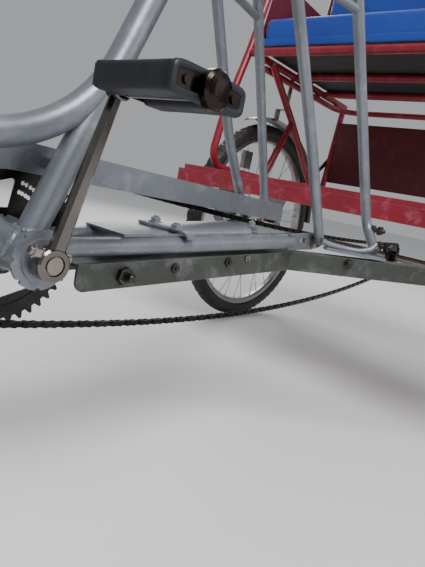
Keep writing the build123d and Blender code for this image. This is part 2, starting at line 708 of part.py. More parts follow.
def ring_windows(near, far):
    """Wide openings between the arms of the chainring and small ovals in the arms."""
    holes = []
    for index in range(WINDOWS):
        middle = WINDOW_TURN + 360 / WINDOWS * index
        reach, low = WINDOW_OUTER / cos(radians(WINDOW_HALF_ANGLE)), middle - WINDOW_HALF_ANGLE
        high = middle + WINDOW_HALF_ANGLE
        outline = [ring_place(WINDOW_INNER, low), ring_place(reach, low), ring_place(reach, high),
                   ring_place(WINDOW_INNER, high), ring_place(WINDOW_INNER, middle)]
        window = side_plate(outline, near, far)
        corners = window.edges().filter_by(Axis.Y).sort_by(lambda edge: hypot(
            edge.center().X - CRANK_X, edge.center().Z - CRANK_HEIGHT))
        holes.append(fillet(corners[-2:], WINDOW_CORNER))
        arm = middle + 180 / WINDOWS
        for radius in OVAL_ROWS:
            for shift in (-OVAL_STEP, 0, OVAL_STEP):
                for turn in (-OVAL_HALF_ANGLE, OVAL_HALF_ANGLE):
                    aft, up = ring_place(radius, arm + shift + turn)
                    holes.append(bar_across(aft, up, near, far, OVAL_RADIUS))
    return holes


def chainring():
    """Dark plate with four wide windows, small ovals in its arms and a raised band near the teeth."""
    ring = toothed_plate(CHAINRING_TEETH, RING_PITCH_RADIUS, 0, CRANK_HEIGHT, -CHAIN_LINE)
    near, far = -CHAIN_LINE + TOOTH_THICKNESS, -CHAIN_LINE - TOOTH_THICKNESS
    face, (band_inner, band_outer) = -CHAIN_LINE + TOOTH_THICKNESS / 2, RING_BAND
    ring += ring_profile(0, CRANK_HEIGHT, [(band_inner, -CHAIN_LINE), (band_outer, -CHAIN_LINE),
                                           (band_outer, face + RING_BAND_RAISE),
                                           (band_inner, face + RING_BAND_RAISE)])
    ring -= ring_windows(near, far)
    ring += bar_across(0, CRANK_HEIGHT, -CHAIN_LINE, -CRANK_INNER - RIGHT_CRANK_EXTRA, CRANK_BOSS_RADIUS)
    return ring - bar_across(0, CRANK_HEIGHT, 0, -2 * CHAIN_LINE, SPINDLE_DIAMETER / 2)


def crank_eye(side):
    """Place of the pedal axis, as (aft, up)."""
    lean = radians(CRANK_LEAN)
    return side * CRANK_LENGTH * sin(lean), CRANK_HEIGHT + side * CRANK_LENGTH * cos(lean)


def crank_arm(side):
    """Tapered arm that leans outward from its boss to its pedal eye."""
    inner = CRANK_INNER + (RIGHT_CRANK_EXTRA if side < 0 else 0)
    outer = inner + CRANK_ARM_THICKNESS
    aft, up = crank_eye(side)
    lean = atan2(up - CRANK_HEIGHT, aft)

    def section(share, width, depth):
        centre_left = inner + CRANK_ARM_THICKNESS / 2 + CRANK_OUTSET * share
        middle = at(aft * share, side * centre_left, CRANK_HEIGHT + (up - CRANK_HEIGHT) * share)
        plane = Plane(origin=middle, x_dir=(0, 1, 0), z_dir=(-cos(lean), 0, sin(lean)))
        return plane * chamfer(Rectangle(depth, width).vertices(), CRANK_BEVEL)

    arm = loft([section(0.0, 24.0, CRANK_ARM_THICKNESS - 2),
                section(1.0, 18.0, CRANK_ARM_THICKNESS - 4)])
    arm += bar_across(0, CRANK_HEIGHT, side * inner, side * outer, CRANK_BOSS_RADIUS)
    arm += cotter(side, inner + CRANK_ARM_THICKNESS / 2, lean)
    arm += bar_across(aft, up, side * (inner + CRANK_OUTSET), side * (outer + CRANK_OUTSET),
                      CRANK_EYE_RADIUS)
    arm -= bar_across(0, CRANK_HEIGHT, side * (inner - 5), side * (outer + 5), SPINDLE_DIAMETER / 2)
    bore = PEDAL_AXLE_DIAMETER / 2 + RUNNING_CLEARANCE
    return arm - bar_across(aft, up, side * inner, side * (outer + 2 * CRANK_OUTSET), bore)


def cotter(side, left, lean):
    """Pin across the crank's boss beside the spindle, with its nut."""
    along = (-sin(lean), cos(lean))
    foot = (COTTER_OFFSET * cos(lean), CRANK_HEIGHT + COTTER_OFFSET * sin(lean))

    def place(reach):
        return foot[0] + reach * along[0], side * left, foot[1] + reach * along[1]

    reach = CRANK_BOSS_RADIUS + 2
    pin = rod(place(-reach), place(reach + COTTER_NUT_LENGTH), 2 * COTTER_RADIUS)
    return pin + rod(place(reach - 4), place(reach + COTTER_NUT_LENGTH - 2), 2 * COTTER_NUT_RADIUS)


def spindle():
    left = CRANK_INNER + CRANK_ARM_THICKNESS
    return bar_across(0, CRANK_HEIGHT, left, -left - RIGHT_CRANK_EXTRA, SPINDLE_DIAMETER / 2)


def pedal_span(side):
    """Inner and outer faces of a pedal's rubber blocks, as distances from the middle."""
    extra = RIGHT_CRANK_EXTRA if side < 0 else 0
    inner = CRANK_INNER + extra + CRANK_ARM_THICKNESS + CRANK_OUTSET + PEDAL_CLEARANCE + PEDAL_PLATE
    return inner, inner + PEDAL_BLOCK_LENGTH


def pedal_body(side):
    """Axle, end plates and cap of a pedal."""
    aft, up = crank_eye(side)
    inner, outer = pedal_span(side)
    axle_start = inner - PEDAL_PLATE - PEDAL_CLEARANCE - CRANK_ARM_THICKNESS + 1
    body = bar_across(aft, up, side * axle_start, side * outer, PEDAL_AXLE_DIAMETER / 2)
    body += bar_across(aft, up, side * inner, side * outer, PEDAL_SLEEVE_RADIUS)
    reach = PEDAL_BLOCK_OFFSET + PEDAL_BLOCK_WIDTH / 2 - PEDAL_PLATE
    for edge in (inner - PEDAL_PLATE, outer):
        body += block((aft - reach, aft + reach), (side * edge, side * (edge + PEDAL_PLATE)),
                      (up - PEDAL_SLEEVE_RADIUS, up + PEDAL_SLEEVE_RADIUS))
    face = outer + PEDAL_PLATE
    for shift in (-PEDAL_BLOCK_OFFSET, PEDAL_BLOCK_OFFSET):
        body += bar_across(aft + shift, up, side * face, side * (face + PEDAL_RIVET_HEIGHT), PEDAL_RIVET_RADIUS)
    rim, radius, crown = side * (face + PEDAL_CAP_LENGTH), PEDAL_CAP_RADIUS, side * PEDAL_CAP_CROWN
    dome = [(0, side * face), (radius, side * face), (radius, rim), (radius * 0.86, rim + crown * 0.5),
            (radius * 0.55, rim + crown * 0.85), (0, rim + crown)]
    return body + ring_profile(aft, up, dome)


def pedal_blocks(side):
    """Two rubber blocks between the pedal's end plates."""
    aft, up = crank_eye(side)
    inner, outer = pedal_span(side)
    blocks = []
    for shift in (-PEDAL_BLOCK_OFFSET, PEDAL_BLOCK_OFFSET):
        middle = aft + shift
        blocks.append(block((middle - PEDAL_BLOCK_WIDTH / 2, middle + PEDAL_BLOCK_WIDTH / 2),
                            (side * (inner + SEAT_GAP), side * (outer - SEAT_GAP)),
                            (up - PEDAL_BLOCK_HEIGHT / 2, up + PEDAL_BLOCK_HEIGHT / 2)))
    return Part() + blocks


def circle_meeting(first, first_radius, second, second_radius):
    """Upper meeting point of two circles in the side plane."""
    dx, dz = second[0] - first[0], second[1] - first[1]
    apart = hypot(dx, dz)
    along = (first_radius ** 2 - second_radius ** 2 + apart ** 2) / (2 * apart)
    rise = (first_radius ** 2 - along ** 2) ** 0.5
    return (first[0] + (along * dx - rise * dz) / apart,
            first[1] + (along * dz + rise * dx) / apart)


def towards(start, end, distance):
    """Point at a distance from start on the way to end."""
    dx, dz = end[0] - start[0], end[1] - start[1]
    return (start[0] + dx / hypot(dx, dz) * distance, start[1] + dz / hypot(dx, dz) * distance)


def chain_outline(grow):
    """Closed outline of the chain at a distance outside its pitch line."""
    ring, cog = (0.0, CRANK_HEIGHT), (REAR_AXLE_AFT, TYRE_RADIUS)
    ring_radius, cog_radius = RING_PITCH_RADIUS, SPROCKET_PITCH_RADIUS
    low = REAR_AXLE_AFT ** 2 / (8 * CHAIN_LOWER_SAG)
    high = REAR_AXLE_AFT ** 2 / (8 * CHAIN_UPPER_SAG)
    low_centre = circle_meeting(ring, low - ring_radius, cog, low - cog_radius)
    high_centre = circle_meeting(ring, high + ring_radius, cog, high + cog_radius)
    ring_low = towards(ring, low_centre, -ring_radius - grow)
    cog_low = towards(cog, low_centre, -cog_radius - grow)
    cog_high = towards(cog, high_centre, cog_radius + grow)
    ring_high = towards(ring, high_centre, ring_radius + grow)

    def middle(centre, radius, first, second):
        return towards(centre, ((first[0] + second[0]) / 2, (first[1] + second[1]) / 2), radius)

    stops = [
        (ring_low, middle(low_centre, low + grow, ring_low, cog_low), cog_low),
        (cog_low, (cog[0] + cog_radius + grow, cog[1]), cog_high),
        (cog_high, middle(high_centre, high - grow, cog_high, ring_high), ring_high),
        (ring_high, (ring[0] - ring_radius - grow, ring[1]), ring_low),
    ]
    edges = [ThreePointArc(*[(CRANK_X - aft, up) for aft, up in stop]) for stop in stops]
    return make_face(Wire(edges))


def chain():
    """Fixed loop of chain, grooved where the two toothed plates run in it."""
    plane = Plane(origin=(0, -CHAIN_LINE + CHAIN_WIDTH / 2, 0), x_dir=(1, 0, 0), z_dir=(0, -1, 0))
    band = extrude(plane * chain_outline(CHAIN_HEIGHT / 2), CHAIN_WIDTH)
    band -= extrude(plane * chain_outline(-CHAIN_HEIGHT / 2), CHAIN_WIDTH)
    near, far = -CHAIN_LINE + CHAIN_GROOVE / 2, -CHAIN_LINE - CHAIN_GROOVE / 2
    toothed = [(0, CRANK_HEIGHT, RING_PITCH_RADIUS), (REAR_AXLE_AFT, TYRE_RADIUS, SPROCKET_PITCH_RADIUS)]
    for aft, up, radius in toothed:
        band -= bar_across(aft, up, near, far, radius + CHAIN_HEIGHT)
    return band


def guard_band(trim):
    """Side outline of the guard, less a trim along its top and rear edges."""
    top, depth = GUARD_RADIUS - trim, GUARD_DEPTH
    disc = Pos(CRANK_X, CRANK_HEIGHT) * (Circle(top) - Circle(GUARD_RADIUS - depth))
    keep = Pos(CRANK_X + GUARD_RADIUS, CRANK_HEIGHT + GUARD_RADIUS) * Rectangle(2 * GUARD_RADIUS,
                                                                                2 * GUARD_RADIUS)
    corners = [(0, CRANK_HEIGHT + top), (GUARD_REAR - trim, GUARD_REAR_TOP - trim),
               (GUARD_REAR - trim, GUARD_REAR_TOP - depth), (0, CRANK_HEIGHT + GUARD_RADIUS - depth)]
    run = make_face(Polyline(*[(CRANK_X - aft, up) for aft, up in corners], close=True))
    rear_top = max(run.vertices(), key=lambda corner: corner.Y - corner.X)
    return (disc & keep) + fillet(rear_top, GUARD_END_RADIUS - trim)


def chain_guard():
    """Box guard over the chain's upper run and round the front of the chainring."""
    inner, wall = CHAIN_LINE - GUARD_HALF_WIDTH, GUARD_WALL
    outer = CHAIN_LINE + GUARD_HALF_WIDTH
    skin = Plane(origin=(0, -inner, 0), x_dir=(1, 0, 0), z_dir=(0, -1, 0))
    room = Plane(origin=(0, -inner - wall, 0), x_dir=(1, 0, 0), z_dir=(0, -1, 0))
    shell = extrude(skin * guard_band(0), outer - inner)
    shell -= extrude(room * guard_band(wall), outer - inner - 2 * wall)
    lug_height = CRANK_HEIGHT + GUARD_RADIUS - GUARD_DEPTH / 2 - 3
    shell += bar_across(seat_aft(lug_height), lug_height, -MAIN_TUBE / 2 - SEAT_GAP, -inner,
                        GUARD_LUG_RADIUS)
    foot, knee = stay_foot(), STAY_KNEE
    share = (GUARD_REAR_TOP - GUARD_DEPTH / 2 - foot[2]) / (knee[2] - foot[2])
    stay_aft, stay_half, lug_up = [low + (high - low) * share for low, high in zip(foot, knee)]
    return shell + bar_across(stay_aft, lug_up, -outer, SEAT_STAY_DIAMETER / 2 + SLANT_GAP - stay_half,
                              GUARD_LUG_RADIUS - 1)


# Steering

def fork():
    """Steerer, crown and two raked blades with flat ends."""
    low, high, crown_top = CROWN_HEIGHT, HEAD_TUBE_TOP + STEERER_ABOVE_HEAD, HEAD_TUBE_BOTTOM - 3
    part = rod((steering_aft(low), 0, low), (steering_aft(high), 0, high), STEERER_DIAMETER)
    part += rod((steering_aft(low - CROWN_BAR_RADIUS), 0, low - CROWN_BAR_RADIUS),
                (steering_aft(crown_top), 0, crown_top), CROWN_DIAMETER)
    part += bar_across(steering_aft(low), low, -BLADE_HALF_SPREAD, BLADE_HALF_SPREAD, CROWN_BAR_RADIUS)
    knee, end_half = BLADE_BEND_HEIGHT, FORK_END_THICKNESS / 2
    for side in SIDES:
        left = side * BLADE_HALF_SPREAD
        places = [(steering_aft(low), left, low), (steering_aft(knee), left, knee),
                  (-FRONT_CENTRE, left, TYRE_RADIUS + 8)]
        part += bent_tube(places, [BLADE_BEND_RADIUS], BLADE_DIAMETER)
        part += bar_across(-FRONT_CENTRE, TYRE_RADIUS, left - end_half, left + end_half, FORK_END_RADIUS)
    hub_room = FRONT_HUB_LENGTH / 2 + SEAT_GAP + AXLE_COLLAR_LENGTH + SEAT_GAP
    part -= bar_across(-FRONT_CENTRE, TYRE_RADIUS, -hub_room, hub_room, FLANGE_RADIUS + 6)
    return part - bar_across(-FRONT_CENTRE, TYRE_RADIUS, -FRONT_AXLE_HALF, FRONT_AXLE_HALF,
                             FRONT_AXLE_DIAMETER / 2)


def front_axle():
    """Axle with a collar on each side of the hub and a nut outside each fork end."""
    centre = (-FRONT_CENTRE, TYRE_RADIUS)
    axle = bar_across(*centre, -FRONT_AXLE_HALF, FRONT_AXLE_HALF, FRONT_AXLE_DIAMETER / 2)
    hub_end = FRONT_HUB_LENGTH / 2 + SEAT_GAP
    for side in SIDES:
        axle += bar_across(*centre, side * hub_end, side * (hub_end + AXLE_COLLAR_LENGTH),
                           AXLE_COLLAR_RADIUS)
        axle += bar_across(*centre, side * AXLE_NUT_PLACE, side * (AXLE_NUT_PLACE + AXLE_NUT_LENGTH),
                           AXLE_NUT_RADIUS)
    return axle


def stem():
    """Quill that rises from the steerer and reaches forward to the bar clamp."""
    low, high = HEAD_TUBE_TOP + STEERER_ABOVE_HEAD + SEAT_GAP, STEM_TOP_HEIGHT
    clamp = bar_clamp()
    part = rod((steering_aft(low), 0, low), (steering_aft(high), 0, high), STEM_DIAMETER)
    part += rod((steering_aft(high), 0, high - STEM_DIAMETER / 3), (clamp[0], 0, clamp[1]), STEM_DIAMETER)
    part += bar_across(*clamp, -STEM_CLAMP_HALF, STEM_CLAMP_HALF, BAR_DIAMETER / 2 + STEM_CLAMP_WALL)
    return part - bar_across(*clamp, -2 * STEM_CLAMP_HALF, 2 * STEM_CLAMP_HALF, BAR_DIAMETER / 2)


def bar_clamp():
    """Middle of the handlebar, as (aft, up)."""
    return steering_aft(STEM_TOP_HEIGHT) - STEM_REACH, STEM_TOP_HEIGHT + 2


def grip_line():
    """Front and rear of the left grip's axis: the bar's last straight."""
    aft, _ = bar_clamp()
    rear = Vector(aft + BAR_SWEEP, BAR_HALF_WIDTH, BAR_HEIGHT - GRIP_DROP)
    return rear + Vector(-GRIP_LENGTH - GRIP_BEND_ROOM, -GRIP_FLARE, GRIP_FALL), rear


def handlebar():
    """Upright bar: out, up and swept back to the grips."""
    aft, up = bar_clamp()
    front, rear = grip_line()
    half = [(aft, BAR_MIDDLE_HALF, up), (aft + 20, BAR_SHOULDER_HALF, BAR_HEIGHT), (*front,), (*rear,)]
    places = [(a, -l, u) for a, l, u in reversed(half)] + half
    return bent_tube(places, [60.0, 55.0, 45.0, 45.0, 55.0, 60.0], BAR_DIAMETER)


def grip(side):
    """Rubber sleeve over the end of the bar."""
    front, rear = grip_line()
    along = (front - rear).normalized()
    near, tail = rear + along * (GRIP_LENGTH - GRIP_END), rear - along * GRIP_END
    body = rod((near.X, side * near.Y, near.Z), (tail.X, side * tail.Y, tail.Z), GRIP_DIAMETER)
    return body - rod((near.X, side * near.Y, near.Z), (rear.X, side * rear.Y, rear.Z), BAR_DIAMETER)


def fender(aft, left, from_angle, to_angle):
    """Domed mudguard over a wheel; angles run from aft over the top to the front."""
    half, rim, crown = FENDER_WIDTH / 2, FENDER_RADIUS - FENDER_CROWN, FENDER_RADIUS
    thick = FENDER_THICKNESS
    outer = [(rim, left - half), (crown, left - half / 2), (crown, left + half / 2), (rim, left + half)]
    inner = [(rim, left + half - thick), (crown - thick, left + half / 2 - thick),
             (crown - thick, left - half / 2 + thick), (rim, left - half + thick)]
    corners = outer + inner
    centre = at(aft, 0, TYRE_RADIUS)
    start = radians(from_angle)
    plane = Plane(origin=centre, x_dir=(-cos(start), 0, sin(start)),
                  z_dir=(-sin(start), 0, -cos(start)))
    sketch = plane * make_face(Polyline(*corners, close=True))
    return revolve(sketch, Axis(centre, (0, 1, 0)), to_angle - from_angle)


def front_fender():
    """Front mudguard with a lug up to the fork crown."""
    rise, run = CROWN_HEIGHT - TYRE_RADIUS, steering_aft(CROWN_HEIGHT) + FRONT_CENTRE
    angle, reach = atan2(rise, run), hypot(rise, run)
    ends = [(-FRONT_CENTRE + radius * cos(angle), 0, TYRE_RADIUS + radius * sin(angle))
            for radius in (FENDER_RADIUS - 1, reach - CROWN_BAR_RADIUS - SEAT_GAP)]
    lug = rod(*ends, 16) - fork()
    return fender(-FRONT_CENTRE, 0, 10, 150) + largest(lug)


def fender_stays():
    """Thin rods from the front mudguard's edges to the fork ends."""
    rods = []
    rim, foot_radius = FENDER_RADIUS - FENDER_CROWN, FORK_END_RADIUS - FENDER_STAY_DIAMETER
    seat = FENDER_STAY_DIAMETER / 2 + SEAT_GAP
    for side in SIDES:
        for angle in map(radians, FENDER_STAY_ANGLES):
            foot = (-FRONT_CENTRE + foot_radius * cos(angle), side * (BLADE_HALF_SPREAD + 9.2),
                    TYRE_RADIUS + foot_radius * sin(angle))
            head = (-FRONT_CENTRE + rim * cos(angle), side * (FENDER_WIDTH / 2 + seat),
                    TYRE_RADIUS + rim * sin(angle))
            rods.append(rod(head, foot, FENDER_STAY_DIAMETER))
    return Part() + rods


# Chassis

def cross_beam():
    """Box section across the front of the chassis."""
    return block((BEAM_AFT, BEAM_AFT + BEAM_DEPTH), (-BEAM_HALF, BEAM_HALF),
                 (BEAM_BOTTOM, BEAM_BOTTOM + BEAM_HEIGHT))


def floor_joist(side):
    """Bar that runs back from the beam under the edge of the floor and the floor rail."""
    return block((BEAM_AFT + BEAM_DEPTH, FLOOR_REAR_AFT),
                 (side * (CHASSIS_HALF - JOIST_WIDTH / 2), side * (CHASSIS_HALF + JOIST_WIDTH / 2)),
                 (BEAM_BOTTOM, BEAM_BOTTOM + BEAM_HEIGHT))


def beam_bracket(side):
    """Plate that carries an iron's end below the beam."""
    half = IRON_BEND_HALF + (BEAM_AFT - IRON_BEND_AFT) * tan(radians(IRON_SPLAY))
    return block((BEAM_AFT + SEAT_GAP, BEAM_AFT + BEAM_DEPTH), (side * (half - BRACKET_WIDTH), side * half),
                 (IRON_END_TOP - IRON_LEG, BEAM_BOTTOM - SEAT_GAP))


def front_upright(side):
    """Front post of the side frame: turns back below into the floor rail."""
    left = side * CHASSIS_HALF
    knee = LOWER_RAIL_HEIGHT + (SEAT_RAIL_HEIGHT - LOWER_RAIL_HEIGHT) * UPRIGHT_KNEE_SHARE
    places = [
        (SEAT_FRONT_AFT + ARM_JOINT, left, LOWER_RAIL_HEIGHT), (UPRIGHT_FOOT_AFT, left, LOWER_RAIL_HEIGHT),
        (UPRIGHT_KNEE_AFT, left, knee), (SEAT_FRONT_AFT, left, SEAT_RAIL_HEIGHT),
        arm_point(0, left), arm_point(ARM_JOINT, left),
    ]
    return bent_tube(places, [UPRIGHT_FOOT_BEND, UPRIGHT_BEND, UPRIGHT_BEND, ARM_BEND], CHASSIS_TUBE)


def arm_point(along, left):
    """Place on the arm rest's axis, which falls a little towards the back."""
    return (ARM_FRONT_AFT + along, left, ARM_HEIGHT - along * ARM_FALL)


def arm_rail(side):
    """Rear stretch of the arm rest, from the upright's bend to the back post."""
    left = side * CHASSIS_HALF
    end = back_aft(ARM_HEIGHT) - CHASSIS_TUBE / 2 - 2 * SLANT_GAP - ARM_FRONT_AFT
    return rod(arm_point(ARM_JOINT + SEAT_GAP, left), arm_point(end, left), CHASSIS_TUBE)


def back_aft(up):
    """Place of the back post's axis at a height."""
    share = (up - SEAT_RAIL_HEIGHT) / (BACK_TOP_HEIGHT - SEAT_RAIL_HEIGHT)
    return BACK_FOOT_AFT + (BACK_TOP_AFT - BACK_FOOT_AFT) * share


def back_frame():
    """Inverted U of tube that carries the back cushion."""
    foot = SEAT_RAIL_HEIGHT + CHASSIS_TUBE / 2 + SLANT_GAP
    places = [(back_aft(foot), CHASSIS_HALF, foot), (BACK_TOP_AFT, CHASSIS_HALF, BACK_TOP_HEIGHT),
              (BACK_TOP_AFT, -CHASSIS_HALF, BACK_TOP_HEIGHT), (back_aft(foot), -CHASSIS_HALF, foot)]
    return bent_tube(places, [BACK_BEND, BACK_BEND], CHASSIS_TUBE)


def side_rail(side):
    """Seat rail from the front upright to the rear leg."""
    left = side * CHASSIS_HALF
    start = SEAT_FRONT_AFT + CHASSIS_TUBE / 2 + 2 * SLANT_GAP
    return rod((start, left, SEAT_RAIL_HEIGHT), (REAR_LEG_TOP_AFT, left, SEAT_RAIL_HEIGHT), CHASSIS_TUBE)


def seat_bars():
    """Cross bars of the seat frame, between the two side rails."""
    places = [(SEAT_FRONT_AFT - FRONT_BAR_SET, SEAT_RAIL_HEIGHT - FRONT_BAR_DROP),
              *[(aft, SEAT_RAIL_HEIGHT) for aft in SEAT_BARS_AFT]]
    return Part() + [bar_across(aft, up, -PANEL_HALF, PANEL_HALF, CHASSIS_TUBE / 2) for aft, up in places]


def lower_loop():
    """U of tube just under the side rails, rounded at the rear corners, on short spacers."""
    up = SEAT_RAIL_HEIGHT - LOOP_DROP
    half = [(LOOP_FRONT_AFT, CHASSIS_HALF, up), (LOOP_REAR_AFT, CHASSIS_HALF, up)]
    loop = bent_tube(half + [(aft, -left, height) for aft, left, height in reversed(half)],
                     [LOOP_BEND, LOOP_BEND], LOOP_TUBE)
    top, reach = SEAT_RAIL_HEIGHT - CHASSIS_TUBE / 2 - SEAT_GAP, LOOP_SPACER_WIDTH / 2
    for aft in LOOP_SPACERS_AFT:
        for side in SIDES:
            left = side * CHASSIS_HALF
            loop += block((aft, aft + LOOP_SPACER_LENGTH), (left - reach, left + reach), (up, top))
    return loop


def rear_leg(side):
    """Leg from the rear end of the side rail down to the floor rail."""
    left = side * CHASSIS_HALF
    top = SEAT_RAIL_HEIGHT - CHASSIS_TUBE / 2 - SLANT_GAP
    foot = LOWER_RAIL_HEIGHT + CHASSIS_TUBE / 2 + SLANT_GAP
    return rod((REAR_LEG_TOP_AFT - CHASSIS_TUBE / 2, left, top), (REAR_LEG_FOOT_AFT, left, foot),
               CHASSIS_TUBE)


def floor_rail(side):
    """Rail that carries on from the upright's foot to the rear leg."""
    left = side * CHASSIS_HALF
    return rod((SEAT_FRONT_AFT + ARM_JOINT + SEAT_GAP, left, LOWER_RAIL_HEIGHT),
               (REAR_LEG_FOOT_AFT + CHASSIS_TUBE / 2, left, LOWER_RAIL_HEIGHT), CHASSIS_TUBE)


def brace(side):
    """Slanted prop from the seat front to the floor rail, with a short front leg."""
    left = side * (CHASSIS_HALF - CHASSIS_TUBE - SEAT_GAP)
    knee = (BRACE_KNEE_AFT, left, SEAT_RAIL_HEIGHT - BRACE_KNEE_DROP)
    prop = rod((BRACE_TOP_AFT, left, SEAT_RAIL_HEIGHT - CHASSIS_TUBE / 2), knee, CHASSIS_TUBE)
    prop += rod(knee, (BRACE_REAR_AFT, left, LOWER_RAIL_HEIGHT), CHASSIS_TUBE)
    return prop + rod(knee, (BRACE_FRONT_AFT, left, LOWER_RAIL_HEIGHT), CHASSIS_TUBE)


def axle_bearing(side):
    """Plate that hangs from the floor rail and holds the axle's bearing."""
    inner = side * (BEARING_HALF - BEARING_WIDTH / 2)
    outer = side * (BEARING_HALF + BEARING_WIDTH / 2)
    front, rear = REAR_AXLE_AFT - HANGER_HALF, REAR_AXLE_AFT + HANGER_HALF
    housing = bar_across(REAR_AXLE_AFT, TYRE_RADIUS, inner, outer, BEARING_RADIUS)
    top = LOWER_RAIL_HEIGHT - CHASSIS_TUBE / 2 - SEAT_GAP
    outline = [(front, top), (rear, top), (REAR_AXLE_AFT + HANGER_FOOT_HALF, TYRE_RADIUS - 8),
               (REAR_AXLE_AFT - HANGER_FOOT_HALF, TYRE_RADIUS - 8)]
    housing += side_plate(outline, outer, outer + side * HANGER_THICKNESS)
    housing += block((front, rear), (outer, side * (CHASSIS_HALF + HANGER_THICKNESS)),
                     (top - HANGER_THICKNESS, top))
    bore = REAR_AXLE_DIAMETER / 2 + RUNNING_CLEARANCE
    return housing - bar_across(REAR_AXLE_AFT, TYRE_RADIUS, 0, side * BEAM_HALF, bore)


def floor_board():
    """Foot board on the beam and the joists, under the floor rails."""
    half = CHASSIS_HALF + JOIST_WIDTH / 2
    return block((BEAM_AFT + SEAT_GAP, FLOOR_REAR_AFT), (-half, half),
                 (BOARD_BOTTOM, BOARD_BOTTOM + FLOOR_THICKNESS))


def arm_panel(side):
    """Dark red sheet inside the arm frame."""
    low, high = SEAT_RAIL_HEIGHT + CHASSIS_TUBE / 2 + 1, ARM_HEIGHT
    outline = [(SEAT_FRONT_AFT + CHASSIS_TUBE * 0.8, low), (ARM_FRONT_AFT + 2, high - 14),
               (ARM_FRONT_AFT + ARM_BEND * 0.8, high + 6),
               (back_aft(high) - CHASSIS_TUBE, high - 2), (back_aft(low) - CHASSIS_TUBE, low)]
    return side_plate(outline, side * PANEL_HALF, side * (PANEL_HALF - SHEET))


def rear_panels():
    """Sheet between the rear legs and sheet in the back frame behind the cushion."""
    panels = block((REAR_LEG_FOOT_AFT + 4, REAR_LEG_FOOT_AFT + 4 + SHEET), (-PANEL_HALF, PANEL_HALF),
                   (LOWER_RAIL_HEIGHT + REAR_PANEL_RISE, SEAT_RAIL_HEIGHT - REAR_PANEL_DROP))
    low, high = BACK_PANEL_BOTTOM, BACK_PANEL_TOP
    outline = [(back_aft(low), low), (back_aft(high), high),
               (back_aft(high) + SHEET, high), (back_aft(low) + SHEET, low)]
    return Part() + [panels, side_plate(outline, -PANEL_HALF, PANEL_HALF)]


def seat_board():
    """Plywood that carries the bench cushion on the side rails and cross bars."""
    low = SEAT_RAIL_HEIGHT + CHASSIS_TUBE / 2 + SEAT_GAP
    half = PANEL_HALF - SHEET - SEAT_GAP
    front = CUSHION_FRONT_AFT + CUSHION_LIP + SOFT_GAP
    return block((front, BOARD_REAR_AFT), (-half, half), (low, low + BOARD_THICKNESS))


def seat_cushion():
    """Padded bench of the passenger seat, with a lip that hides the front edge of its board."""
    cushion = block((CUSHION_FRONT_AFT, CUSHION_FRONT_AFT + CUSHION_DEPTH), (-CUSHION_HALF, CUSHION_HALF),
                    (CUSHION_BOTTOM, CUSHION_BOTTOM + CUSHION_HEIGHT))
    cushion = fillet(cushion.edges(), CUSHION_EDGE)
    low = CUSHION_BOTTOM - SOFT_GAP - BOARD_THICKNESS
    return cushion + block((CUSHION_FRONT_AFT, CUSHION_FRONT_AFT + CUSHION_LIP),
                           (-CUSHION_HALF + CUSHION_EDGE, CUSHION_HALF - CUSHION_EDGE),
                           (low, CUSHION_BOTTOM + CUSHION_EDGE))


def back_cushion():
    """Padded back on the sheet in the back frame."""
    lean = atan2(BACK_TOP_AFT - BACK_FOOT_AFT, BACK_TOP_HEIGHT - SEAT_RAIL_HEIGHT)
    middle = BACK_PANEL_BOTTOM + BACK_PANEL_EDGE + BACK_CUSHION_HEIGHT / 2
    aft = back_aft(middle) - (BACK_CUSHION_THICKNESS / 2 + SOFT_GAP) / cos(lean)
    pad = Box(BACK_CUSHION_THICKNESS, 2 * CUSHION_HALF, BACK_CUSHION_HEIGHT)
    pad = fillet(pad.edges(), CUSHION_EDGE)
    return Pos(at(aft, 0, middle)) * Rot(0, -degrees(lean), 0) * pad


def seat_post():
    """Post in the seat tube with the saddle clamp on its top."""
    return rod(seat_tube_point(SEAT_TUBE_TOP - SEAT_POST_DEPTH), seat_tube_point(saddle_base()),
               SEAT_POST_DIAMETER)


def saddle_base():
    """Height of the clamp under the saddle."""
    return SADDLE_TOP - SADDLE_HEIGHT + 8


def saddle():
    """Sprung rider's saddle: wide at the back, with a narrow nose."""
    rear = seat_aft(SADDLE_TOP) + SADDLE_REAR_REACH
    nose = rear - SADDLE_LENGTH
    half = SADDLE_WIDTH / 2
    outline = [(nose, SADDLE_NOSE_HALF), (nose + SADDLE_LENGTH * 0.46, SADDLE_NECK_HALF),
               (rear - SADDLE_LENGTH * 0.3, half), (rear - SADDLE_LENGTH * 0.08, half), (rear, half * 0.7)]
    ring = outline + [(aft, -left) for aft, left in reversed(outline)]
    face = make_face(Polyline(*[(CRANK_X - aft, left) for aft, left in ring], close=True))
    body = extrude(Pos(0, 0, SADDLE_TOP - SADDLE_THICKNESS) * face, SADDLE_THICKNESS)
    return fillet(body.edges().group_by(Axis.Z)[-1], 12)


def saddle_frame():
    """Clamp, side rails and rear springs under the saddle."""
    base, under = saddle_base(), SADDLE_TOP - SADDLE_THICKNESS - SEAT_GAP
    clamp_aft, rear = seat_aft(base), seat_aft(SADDLE_TOP) + SADDLE_REAR_REACH
    part = rod(seat_tube_point(base + 1), seat_tube_point(base - 24), SEAT_POST_DIAMETER + 8)
    part += bar_across(clamp_aft, base + 4, -26, 26, 9)
    spring_aft, spring_low = rear - 45, base - 8
    for side in SIDES:
        rail = [(rear - SADDLE_LENGTH + 40, side * 10, under - 4), (clamp_aft, side * 22, base + 4),
                (spring_aft, side * SADDLE_SPRING_HALF, base - 4)]
        part += bent_tube(rail, [60.0], 7.0)
        part += Pos(at(spring_aft, side * SADDLE_SPRING_HALF, (spring_low + under) / 2)) * Cylinder(
            SADDLE_SPRING_RADIUS, under - spring_low)
    return part - rod(seat_tube_point(base), seat_tube_point(base - 40), SEAT_POST_DIAMETER)


# Rear drive and wheels

